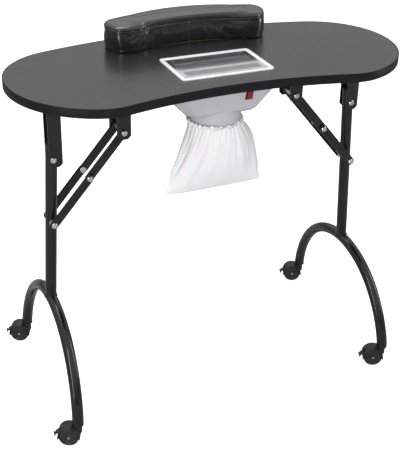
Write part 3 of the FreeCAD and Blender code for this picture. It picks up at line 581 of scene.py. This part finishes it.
def cushionProfile(low, high):
    # (inset, height, kind) from the middle of the underside, round the side, to the top's middle.
    edge, seam = armrest["edgeRound"], high - armrest["seamDrop"]
    rows = [(armrest["halfDepth"], low, "base"), (0.030, low, "base"), (0.016, low, "base"),
            (0.008, low, "base"), (0.0045, low + 0.0002, "base")]
    for step in range(1, 7):
        angle = math.pi / 2 * step / 6
        rows.append((0.0045 * (1 - math.sin(angle)), low + 0.006 * (1 - math.cos(angle)), "side"))
    sideLow, sideHigh = low + 0.006, seam - 0.0035
    for step in range(1, 15):
        share = step / 14
        belly = armrest["bulge"] * math.sin(math.pi * share)
        rows.append((0.0002 - belly, sideLow + (sideHigh - sideLow) * share, "side"))
    for step in range(1, 13):
        rows.append((0.0002, sideHigh + 0.007 * step / 12, "seam"))
    edgeLow = sideHigh + 0.007
    rise = high - armrest["crown"] - edgeLow
    for step in range(1, 11):
        angle = math.pi / 2 * step / 10
        rows.append((0.0002 + edge * (1 - math.cos(angle)), edgeLow + rise * math.sin(angle), "edge"))
    reach = armrest["halfDepth"] - edge
    for step in range(1, 13):
        share = step / 12
        rows.append((edge + reach * share, high - armrest["crown"] * (1 - share) ** 2, "top"))
    return rows


def simulateCushion(piece, firmGroup):
    # Pressure from inside fills the cover; the underside is held to the board.
    before = np.empty(len(piece.data.vertices) * 3)
    piece.data.vertices.foreach_get("co", before)
    softness = piece.modifiers.new("cloth", "CLOTH")
    settings = softness.settings
    settings.quality = 6
    settings.mass = 0.25
    settings.tension_stiffness = 22
    settings.compression_stiffness = 14
    settings.shear_stiffness = 8
    settings.bending_stiffness = 0.8
    settings.use_pressure = True
    settings.uniform_pressure_force = armrest["pressure"]
    settings.shrink_min = -0.018
    settings.vertex_group_mass = firmGroup
    settings.effector_weights.gravity = 0.0
    softness.collision_settings.use_collision = False
    softness.point_cache.frame_start = 1
    softness.point_cache.frame_end = armrest["frames"]
    for number in range(1, armrest["frames"] + 1):
        scene.frame_set(number)
    graph = bpy.context.evaluated_depsgraph_get()
    swollen = bpy.data.meshes.new_from_object(piece.evaluated_get(graph))
    after = np.empty(len(swollen.vertices) * 3)
    swollen.vertices.foreach_get("co", after)
    piece.modifiers.clear()
    scene.frame_set(1)
    moved = (after - before).reshape(-1, 3)
    length = np.linalg.norm(moved, axis=1, keepdims=True)
    limit = armrest["cap"]
    moved *= limit * np.tanh(length / limit) / np.maximum(length, 1e-9)
    piece.data.vertices.foreach_set("co", before + moved.ravel())
    bpy.data.meshes.remove(swollen)


def makeCushion():
    low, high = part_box("armrest_cushion")
    low.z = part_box("armrest_board")[0].z + armrest["gap"]
    centreX = (low.x + high.x) / 2
    centreY = high.y - armrest["midRadius"] - armrest["halfDepth"]
    rows = cushionProfile(low.z, high.z)
    around = len(restPlan(0.0))
    verts, kinds = [], []
    for inset, height, kind in rows:
        for along, across in restPlan(inset):
            x, y = bend(along, across, centreX, centreY)
            verts.append((x, y, height))
            kinds.append(kind)
    faces = []
    for row in range(len(rows) - 1):
        for step in range(around):
            after = (step + 1) % around
            faces.append((row * around + step, row * around + after,
                          (row + 1) * around + after, (row + 1) * around + step))
    mesh = bpy.data.meshes.new("armrestCover")
    mesh.from_pydata(verts, [], faces)
    piece = addPiece("armrestCover", mesh, "black_leatherette", "table", ("armrest_cushion",))
    held = piece.vertex_groups.new(name="held")
    held.add([index for index, kind in enumerate(kinds) if kind == "base"], 1.0, "REPLACE")
    simulateCushion(piece, "held")
    sewSeams(piece, kinds, centreX, centreY, low.z, high.z)
    work = bmesh.new()
    work.from_mesh(piece.data)
    bmesh.ops.remove_doubles(work, verts=work.verts, dist=0.00035)
    bmesh.ops.dissolve_degenerate(work, dist=1e-6, edges=work.edges)
    bmesh.ops.recalc_face_normals(work, faces=work.faces)
    work.to_mesh(piece.data)
    work.free()
    piece.data.shade_smooth()
    print("cushion:", len(piece.data.polygons), "faces")


def sewSeams(piece, kinds, centreX, centreY, lowZ, highZ):
    # A welt all round below the top edge, and one upright seam at the middle of the front.
    seamZ = highZ - armrest["seamDrop"]
    for vert in piece.data.vertices:
        if kinds[vert.index] in ("base", "top"):
            continue
        x, y, z = vert.co
        angle = math.atan2(x - centreX, y - centreY)
        along = angle * armrest["midRadius"]
        radius = math.hypot(x - centreX, y - centreY)
        across = radius - armrest["midRadius"]
        reach = armrest["midRadius"] * math.radians(armrest["halfAngle"]) - armrest["corner"]
        overEnd = max(abs(along) - reach, 0.0) * math.copysign(1.0, along)
        outAlong, outAcross = overEnd, max(abs(across) - 0.010, 0.0) * math.copysign(1.0, across)
        size = math.hypot(outAlong, outAcross) or 1.0
        outAlong, outAcross = outAlong / size, outAcross / size
        drop = (z - seamZ) / 0.0011
        groove = -0.0014 * math.exp(-drop * drop)
        welt = 0.0006 * math.exp(-(drop - 2.3) ** 2 / 1.4)
        pucker = 0.0005 * math.sin(along * 950 + 2.0 * math.sin(along * 130)) * math.exp(-(drop / 4.5) ** 2)
        push = groove + welt + pucker
        if across < 0 and z < seamZ:
            beside = along / 0.0012
            push -= 0.0016 * math.exp(-beside * beside)
            push += 0.0005 * math.exp(-(abs(beside) - 2.6) ** 2)
        rumple = noise.noise(Vector((along * 22, across * 30, z * 34))) * 0.0011
        rumple += noise.noise(Vector((along * 60, across * 60, z * 26 + 7))) * 0.00035
        fade = min((z - lowZ) / 0.01, 1.0) * min((highZ - z) / 0.006, 1.0)
        push += rumple * max(fade, 0.0)
        angleOut = Vector((math.sin(angle), math.cos(angle), 0))
        alongDir = Vector((math.cos(angle), -math.sin(angle), 0))
        vert.co += (angleOut * outAcross + alongDir * outAlong) * push


makeCushion()

bag = {"mouth": 0.0600, "steps": 288, "rows": 96, "gathers": 34,
       "gatherDepth": 0.0030, "foldDepth": 0.0060}


def bagHalfWidths(share, side):
    # Left hangs straighter at first and then flares; right swells at the shoulder.
    if side < 0:
        stops = ((0, 0.0600), (0.10, 0.0635), (0.26, 0.0715), (0.52, 0.088), (0.65, 0.101), (0.86, 0.1125),
                 (1, 0.1195))
    else:
        stops = ((0, 0.0600), (0.06, 0.0640), (0.12, 0.0750), (0.27, 0.0905), (0.49, 0.1025), (0.72, 0.1125),
                 (1, 0.1200))
    shares, widths = zip(*stops)
    return float(np.interp(share, shares, widths))


def makeBag():
    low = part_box("dust_bag")[0]
    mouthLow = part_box("bag_elastic")[0]
    ductLow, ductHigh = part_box("outlet_duct")
    centreX = (ductLow.x + ductHigh.x) / 2
    centreY = (ductLow.y + ductHigh.y) / 2
    rim = mouthLow.z + 0.004
    bottom = low.z + 0.0005
    steps, rows = bag["steps"], bag["rows"]
    widths = np.array([[bagHalfWidths(row / rows, side) for side in (-1, 1)] for row in range(rows + 1)])
    kernel = np.hanning(15)
    kernel /= kernel.sum()
    padded = np.pad(widths, ((7, 7), (0, 0)), "edge")
    widths = np.stack([np.convolve(padded[:, side], kernel, "valid") for side in (0, 1)], 1)
    verts = []
    for row in range(rows + 1):
        share = row / rows
        halfDeep = bag["mouth"] * (1 - share) ** 0.8 + 0.0045 * share + 0.006 * math.sin(math.pi * share)
        crease = share ** 1.4
        for step in range(steps):
            angle = 2 * math.pi * step / steps
            side = 1 if math.cos(angle) > 0 else 0
            blend = 0.5 + 0.5 * math.cos(angle)
            halfWide = widths[row, 0] * (1 - blend) + widths[row, 1] * blend
            halfWide = widths[row, side] * 0.7 + halfWide * 0.3 if abs(math.cos(angle)) > 0.2 else halfWide
            power = 1.0 + 0.35 * crease
            x = math.copysign(abs(math.cos(angle)) ** (1 / power), math.cos(angle)) * halfWide
            y = math.copysign(abs(math.sin(angle)) ** power, math.sin(angle)) * halfDeep
            out = Vector((x / halfWide ** 2, y / max(halfDeep, 0.008) ** 2, 0)).normalized()
            wander = noise.noise(Vector((math.cos(angle) * 2.0, math.sin(angle) * 2.0, 3.1)))
            gather = math.sin(bag["gathers"] * angle + 5.0 * wander)
            gather += 0.6 * math.sin(bag["gathers"] * 1.7 * angle + 9.0 * wander)
            fold = noise.noise(Vector((math.cos(angle) * 3.2, math.sin(angle) * 3.2, share * 0.9)))
            fine = noise.noise(Vector((math.cos(angle) * 7.0 + 4, math.sin(angle) * 7.0, share * 2.2)))
            easeAt = share * 1.1 if share < 0.9 else 0.99
            ease = math.sin(math.pi * easeAt) ** 0.7
            push = bag["gatherDepth"] * gather * math.exp(-share / 0.17) * 0.5
            push += (bag["foldDepth"] * fold + 0.0016 * fine) * ease
            sag = -0.0015 * math.exp(-((angle - 4.2) / 0.5) ** 2) * share
            z = rim + (bottom - rim) * share + sag * share
            verts.append((centreX + x + out.x * push, centreY + y + out.y * push, z))
    faces = []
    for row in range(rows):
        for step in range(steps):
            after = (step + 1) % steps
            faces.append((row * steps + after, row * steps + step,
                          (row + 1) * steps + step, (row + 1) * steps + after))
    # The sewn bottom: front and back meet, left open only inside the stitch line.
    last = rows * steps
    for step in range(steps // 2):
        a, b = last + step, last + (step + 1)
        c, d = last + (steps - step - 1) % steps, last + (steps - step) % steps
        if len({a, b, c, d}) >= 3:
            faces.append(tuple(dict.fromkeys((a, b, c, d))))
    mesh = bpy.data.meshes.new("dustBag")
    mesh.from_pydata(verts, [], faces)
    work = bmesh.new()
    work.from_mesh(mesh)
    bmesh.ops.recalc_face_normals(work, faces=work.faces)
    work.to_mesh(mesh)
    work.free()
    piece = addPiece("dustBag", mesh, "bag_cloth", "table", ("dust_bag",))
    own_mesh(piece)
    print("bag:", len(piece.data.polygons), "faces")


makeBag()

elastic = {"radius": 0.0605, "tall": 0.010, "pleats": 62, "depth": 0.0013, "steps": 744, "seed": 4}


def makeElasticBand():
    # A gathered ring: a circle pushed in and out by pleats, swept with a flat oval.
    low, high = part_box("bag_elastic")
    tree = Tree("gatheredRing", radius=elastic["radius"], pleats=elastic["pleats"],
                depth=elastic["depth"], tall=elastic["tall"], seed=elastic["seed"])
    ring = tree.node("GeometryNodeCurvePrimitiveCircle", {},
                     {"Resolution": elastic["steps"], "Radius": tree.size("radius")})
    factor = tree.node("GeometryNodeSplineParameter", {}, {}, "Factor")
    turn = tree.sums("MULTIPLY", factor, 2 * math.pi)
    place = tree.node("GeometryNodeInputPosition", {}, {})
    shuffled = tree.node("ShaderNodeTexNoise", {"noise_dimensions": "4D"},
                         {"Vector": place, "W": tree.size("seed"), "Scale": 55.0, "Detail": 1.0}, 0)
    wander = tree.sums("MULTIPLY", shuffled, 9.0)
    phase = tree.sums("ADD", tree.sums("MULTIPLY", turn, tree.size("pleats")), wander)
    wave = tree.sums("MULTIPLY", tree.sums("SINE", phase), tree.size("depth"))
    outward = tree.node("ShaderNodeVectorMath", {"operation": "NORMALIZE"}, {0: place})
    push = tree.node("ShaderNodeVectorMath", {"operation": "SCALE"}, {0: outward, "Scale": wave})
    lift = tree.sums("MULTIPLY", tree.sums("COSINE", phase), 0.0007)
    push = tree.node("ShaderNodeVectorMath", {"operation": "ADD"}, {0: push, 1: tree.vector(z=lift)})
    pleated = tree.node("GeometryNodeSetPosition", {}, {"Geometry": ring, "Offset": push})
    oval = tree.node("GeometryNodeCurvePrimitiveCircle", {}, {"Resolution": 10, "Radius": 0.5})
    size = tree.vector(0.0022, tree.size("tall"), 1.0)
    oval = tree.node("GeometryNodeTransform", {}, {"Geometry": oval, "Scale": size})
    band = tree.node("GeometryNodeCurveToMesh", {}, {"Curve": pleated, "Profile Curve": oval})
    spot = (low + high) / 2
    band = tree.node("GeometryNodeTransform", {}, {"Geometry": band, "Translation": tuple(spot)})
    tree.close(band, finish["elastic_band"])
    mesh = tree.grow("bagElasticGathered")
    addPiece("bagElasticGathered", mesh, "elastic_band", "table", ("bag_elastic",))
    print("elastic gathered")


makeElasticBand()

slotRim = {"wire": 0.00022, "wide": 0.0030, "long": 0.0274, "round": 0.0012,
           "columns": 29, "rows": 3, "pitch": 0.006, "rowPitch": 0.036}


def makeSlotRims():
    # A fine rolled lip round each slot of the plate.
    low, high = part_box("grille_plate")
    tree = Tree("slotRims", wire=slotRim["wire"], wide=slotRim["wide"], long=slotRim["long"],
                round=slotRim["round"], columns=slotRim["columns"], rows=slotRim["rows"],
                pitch=slotRim["pitch"], rowPitch=slotRim["rowPitch"])
    across = tree.sums("MULTIPLY", tree.size("pitch"), tree.sums("SUBTRACT", tree.size("columns"), 1.0))
    down = tree.sums("MULTIPLY", tree.size("rowPitch"), tree.sums("SUBTRACT", tree.size("rows"), 1.0))
    grid = tree.node("GeometryNodeMeshGrid", {}, {"Size X": across, "Size Y": down,
                                                  "Vertices X": tree.size("columns"),
                                                  "Vertices Y": tree.size("rows")})
    outline = tree.node("GeometryNodeCurvePrimitiveQuadrilateral", {},
                        {"Width": tree.size("wide"), "Height": tree.size("long")})
    outline = tree.node("GeometryNodeFilletCurve", {"mode": "POLY"},
                        {"Curve": outline, "Radius": tree.size("round"), "Count": 3})
    wire = tree.node("GeometryNodeCurvePrimitiveCircle", {}, {"Resolution": 5, "Radius": tree.size("wire")})
    rim = tree.node("GeometryNodeCurveToMesh", {}, {"Curve": outline, "Profile Curve": wire})
    rims = tree.node("GeometryNodeInstanceOnPoints", {}, {"Points": grid, "Instance": rim})
    spot = Vector(((low.x + high.x) / 2, (low.y + high.y) / 2, high.z))
    rims = tree.node("GeometryNodeTransform", {}, {"Geometry": rims, "Translation": tuple(spot)})
    tree.close(rims, finish["polished_plate"])
    addPiece("grilleSlotRims", tree.grow("grilleSlotRims"), "polished_plate", "table")
    print("slot rims placed")


makeSlotRims()

screwHead = {"radius": 0.0041, "rise": 0.0019, "crossHalf": 0.00055, "crossReach": 0.0024,
             "crossDeep": 0.0011, "around": 28, "rings": 7}


def crossHead():
    # A domed head with a cross recess, facing down, closed at its back.
    work = bmesh.new()
    radius, rise = screwHead["radius"], screwHead["rise"]
    rings = []
    for ring in range(1, screwHead["rings"] + 1):
        share = ring / screwHead["rings"]
        loop = []
        for step in range(screwHead["around"]):
            angle = 2 * math.pi * step / screwHead["around"]
            x, y = radius * share * math.cos(angle), radius * share * math.sin(angle)
            z = -rise * math.sqrt(max(1 - share ** 2.4, 0.0))
            arm = min(abs(x), abs(y)), max(abs(x), abs(y))
            if arm[0] < screwHead["crossHalf"] and arm[1] < screwHead["crossReach"]:
                z += screwHead["crossDeep"]
            loop.append(work.verts.new((x, y, z)))
        rings.append(loop)
    centre = work.verts.new((0, 0, -rise + screwHead["crossDeep"] * 1.3))
    back = work.verts.new((0, 0, 0.0002))
    count = screwHead["around"]
    for step in range(count):
        after = (step + 1) % count
        work.faces.new((centre, rings[0][after], rings[0][step]))
        work.faces.new((back, rings[-1][step], rings[-1][after]))
        for inner, outer in zip(rings, rings[1:]):
            work.faces.new((inner[step], inner[after], outer[after], outer[step]))
    bmesh.ops.recalc_face_normals(work, faces=work.faces)
    mesh = bpy.data.meshes.new("crossHead")
    work.to_mesh(mesh)
    work.free()
    return mesh


def makeScrewHeads():
    # One head on the foot of each screw solid, turned at random about its own axis.
    template = bpy.data.objects.new("crossHeadTemplate", crossHead())
    scene.collection.objects.link(template)
    for name, label in (("bracket_screws", "bracketScrewHeads"), ("housing_screws", "housingScrewHeads"),
                        ("armrest_screws", "armrestScrewHeads")):
        points = [((low.x + high.x) / 2, (low.y + high.y) / 2, low.z) for low, high in islandBoxes(name)]
        seed = bpy.data.meshes.new(label + "Spots")
        seed.from_pydata(points, [], [])
        tree = Tree(label + "Tree", seed=7)
        spots = tree.node("GeometryNodeMeshToPoints", {}, {"Mesh": tree.start.outputs[0]})
        head = tree.node("GeometryNodeObjectInfo", {}, {"Object": template}, "Geometry")
        turn = tree.node("FunctionNodeRandomValue", {"data_type": "FLOAT"},
                         {"Min": 0.0, "Max": 6.28, "Seed": tree.size("seed")}, 1)
        euler = tree.node("FunctionNodeEulerToRotation", {}, {0: tree.vector(z=turn)})
        heads = tree.node("GeometryNodeInstanceOnPoints", {},
                          {"Points": spots, "Instance": head, "Rotation": euler})
        tree.close(heads, finish["zinc_hardware"])
        addPiece(label, tree.grow(label, seed), "zinc_hardware", "table", (), 35)
    bpy.data.objects.remove(template)
    print("screw heads placed")


makeScrewHeads()

weld = {"bead": 0.0021, "beads": 64, "tube": 0.0130, "archRadius": 0.208, "crownTop": 0.257,
        "splay": 3.17, "dots": 58, "seed": 11}


def weldPath(side):
    # The saddle line where the upright meets the arched tube, in the table's own place.
    fold = next(joint for joint in frame["joints"] if joint["name"] == side + "_leg_fold")
    hinge = Vector(fold["pos_m"])
    sign = -1 if side == "left" else 1
    splay = math.radians(weld["splay"])
    drop = hinge.z / math.cos(splay)
    turn = Matrix.Translation(hinge) @ Matrix.Rotation(-sign * splay, 4, "Y")
    points = []
    for step in range(weld["beads"]):
        angle = 2 * math.pi * step / weld["beads"]
        x, y = weld["tube"] * math.cos(angle), weld["tube"] * math.sin(angle)
        over = math.sqrt(max(weld["tube"] ** 2 - x * x, 0.0))
        z = weld["crownTop"] + math.sqrt((weld["archRadius"] + over) ** 2 - y * y) - weld["archRadius"]
        points.append(turn @ Vector((x * 1.03, y * 1.03, z - drop + 0.0006)))
    return points


def makeWelds():
    for side in ("left", "right"):
        path = weldPath(side)
        seed = bpy.data.meshes.new(side + "WeldPath")
        seed.from_pydata(path, [(step, (step + 1) % len(path)) for step in range(len(path))], [])
        tree = Tree(side + "Weld", bead=weld["bead"], seed=weld["seed"])
        curve = tree.node("GeometryNodeMeshToCurve", {}, {"Mesh": tree.start.outputs[0]})
        dotted = tree.node("GeometryNodeResampleCurve", {}, {"Curve": curve, "Count": weld["dots"]})
        blob = tree.node("GeometryNodeMeshIcoSphere", {}, {"Radius": tree.size("bead"), "Subdivisions": 2})
        scale = tree.node("FunctionNodeRandomValue", {"data_type": "FLOAT"},
                          {"Min": 0.85, "Max": 1.15, "Seed": tree.size("seed")}, 1)
        blobs = tree.node("GeometryNodeInstanceOnPoints", {},
                          {"Points": dotted, "Instance": blob, "Scale": scale})
        tree.close(blobs, finish["black_enamel"])
        addPiece(side + "WeldBead", tree.grow(side + "WeldBead", seed), "black_enamel", side + "_leg")
    print("welds run")


makeWelds()

grip = {"bars": 4, "pitch": 0.0016, "radius": 0.0006, "wide": 0.0125}


def makePedalGrips():
    # Raised bars on each brake pedal, for the toe.
    for name in sorted(frame["nodes"]):
        if not name.endswith("caster_brake"):
            continue
        low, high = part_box(name)
        tree = Tree(name + "Grip", bars=grip["bars"], pitch=grip["pitch"], radius=grip["radius"],
                    wide=grip["wide"])
        bar = tree.node("GeometryNodeMeshCylinder", {}, {"Vertices": 8, "Radius": tree.size("radius"),
                                                         "Depth": tree.size("wide")})
        bar = tree.node("GeometryNodeTransform", {}, {"Geometry": bar,
                                                      "Rotation": (math.pi / 2, 0, 0)})
        step = tree.vector(tree.sums("MULTIPLY", tree.size("pitch"), -0.42), 0.0,
                           tree.sums("MULTIPLY", tree.size("pitch"), -0.91))
        line = tree.node("GeometryNodeMeshLine", {}, {"Count": tree.size("bars"), "Offset": step})
        bars = tree.node("GeometryNodeInstanceOnPoints", {}, {"Points": line, "Instance": bar})
        spot = (low.x + 0.0042, (low.y + high.y) / 2, low.z + 0.0098)
        bars = tree.node("GeometryNodeTransform", {}, {"Geometry": bars, "Translation": spot})
        tree.close(bars, finish["caster_plastic"])
        words = name.split("_")
        label = words[0] + words[1].capitalize() + "PedalGrip"
        addPiece(label, tree.grow(label), "caster_plastic", nodeBody[name])
    print("pedal grips placed")


makePedalGrips()

floorPlan = {"half": 60.0, "pale": (0.93, 0.93, 0.93), "glow": 0.55,
             "bounced": (0.34, 0.34, 0.34)}


def makeFloor():
    half = floorPlan["half"]
    mesh = bpy.data.meshes.new("paleFloor")
    corners = [(-half, -half, 0), (half, -half, 0), (half, half, 0), (-half, half, 0)]
    mesh.from_pydata(corners, [], [(0, 1, 2, 3)])
    floor = bpy.data.objects.new("paleFloor", mesh)
    scene.collection.objects.link(floor)
    shader = Shader("paleFloorPaint", Specular_IOR_Level=0.1)
    cloud = shader.noise(1.5, 3.0)
    shader.colour(shader.tint(cloud, floorPlan["pale"], (0.95, 0.95, 0.95)))
    shader.rough(0.85)
    shader.surface.inputs["Emission Color"].default_value = (1, 1, 1, 1)
    shader.surface.inputs["Emission Strength"].default_value = floorPlan["glow"]
    # Reflections and bounced light see a greyer floor, so that gloss black stays black.
    nodes, links = shader.tree.nodes, shader.tree.links
    bounced = nodes.new("ShaderNodeBsdfDiffuse")
    bounced.inputs["Color"].default_value = (*floorPlan["bounced"], 1.0)
    ray = nodes.new("ShaderNodeLightPath")
    mix = nodes.new("ShaderNodeMixShader")
    links.new(ray.outputs["Is Camera Ray"], mix.inputs[0])
    links.new(bounced.outputs[0], mix.inputs[1])
    links.new(shader.surface.outputs[0], mix.inputs[2])
    links.new(mix.outputs[0], nodes["Material Output"].inputs["Surface"])
    mesh.materials.append(shader.material)


makeFloor()

studio = {"seen": 1.0, "above": 0.84, "level": 0.14, "below": 0.16,
          "lights": [("leftTall", (-2.3, -1.5, 1.2), (0.0, 0.0, 0.4), (0.34, 2.4), 20.0),
                     ("rightTall", (2.4, -0.9, 1.2), (0.0, 0.0, 0.4), (0.30, 2.2), 15.0),
                     ("overhead", (-0.4, 0.9, 3.0), (0.0, 0.0, 0.7), (1.8, 1.2), 26.0),
                     ("fillSoft", (-1.0, -2.6, 0.7), (0.0, 0.0, 0.6), (2.0, 1.2), 46.0)]}


def makeStudio():
    # Seen directly the room is white; as light it is bright above and dim at table height.
    world = bpy.data.worlds.new("paleStudio")
    scene.world = world
    world.use_nodes = True
    tree = world.node_tree
    room = tree.nodes["Background"]
    place = tree.nodes.new("ShaderNodeTexCoord")
    split = tree.nodes.new("ShaderNodeSeparateXYZ")
    fade = tree.nodes.new("ShaderNodeValToRGB")
    stops = fade.color_ramp.elements
    for stop, (position, word) in zip((stops[0], stops.new(0.5), stops[-1]),
                                      ((0.0, "below"), (0.52, "level"), (0.73, "above"))):
        stop.position = position
        stop.color = (studio[word], studio[word], studio[word], 1.0)
    lift = tree.nodes.new("ShaderNodeMapRange")
    lift.inputs["From Min"].default_value = -1.0
    plain = tree.nodes.new("ShaderNodeBackground")
    plain.inputs["Strength"].default_value = studio["seen"]
    plain.inputs["Color"].default_value = (1, 1, 1, 1)
    ray = tree.nodes.new("ShaderNodeLightPath")
    mix = tree.nodes.new("ShaderNodeMixShader")
    for source, target in ((place.outputs["Generated"], split.inputs[0]),
                           (split.outputs["Z"], lift.inputs[0]),
                           (lift.outputs[0], fade.inputs[0]), (fade.outputs[0], room.inputs["Color"]),
                           (ray.outputs["Is Camera Ray"], mix.inputs[0]), (room.outputs[0], mix.inputs[1]),
                           (plain.outputs[0], mix.inputs[2]),
                           (mix.outputs[0], tree.nodes["World Output"].inputs[0])):
        tree.links.new(source, target)
    for name, spot, aim, size, power in studio["lights"]:
        lamp = bpy.data.lights.new(name, "AREA")
        lamp.shape = "RECTANGLE"
        lamp.size, lamp.size_y = size
        lamp.energy = power
        holder = bpy.data.objects.new(name, lamp)
        scene.collection.objects.link(holder)
        holder.location = spot
        holder.visible_glossy = not name.startswith("fill")
        holder.rotation_euler = (Vector(aim) - Vector(spot)).to_track_quat("-Z", "Y").to_euler()
    scene.view_settings.view_transform = "Standard"


makeStudio()

viewpoint = {"place": (-0.865, -1.9064, 1.521), "around": -24.32, "above": 29.08,
             "roll": 1.43, "lens": 78.92}


def makeCamera():
    around, above, roll = (math.radians(viewpoint[word]) for word in ("around", "above", "roll"))
    back = Vector((math.sin(around) * math.cos(above), -math.cos(around) * math.cos(above), math.sin(above)))
    right = Vector((math.cos(around), math.sin(around), 0))
    up = back.cross(right)
    acrossView = right * math.cos(roll) + up * math.sin(roll)
    upView = up * math.cos(roll) - right * math.sin(roll)
    lens = bpy.data.cameras.new("camera")
    lens.lens = viewpoint["lens"]
    lens.sensor_width = 36.0
    lens.clip_end = 200.0
    camera = bpy.data.objects.new("camera", lens)
    scene.collection.objects.link(camera)
    place = Matrix((acrossView, upView, back)).transposed().to_4x4()
    place.translation = Vector(viewpoint["place"])
    camera.matrix_world = place
    scene.camera = camera


makeCamera()

print("scene ready")
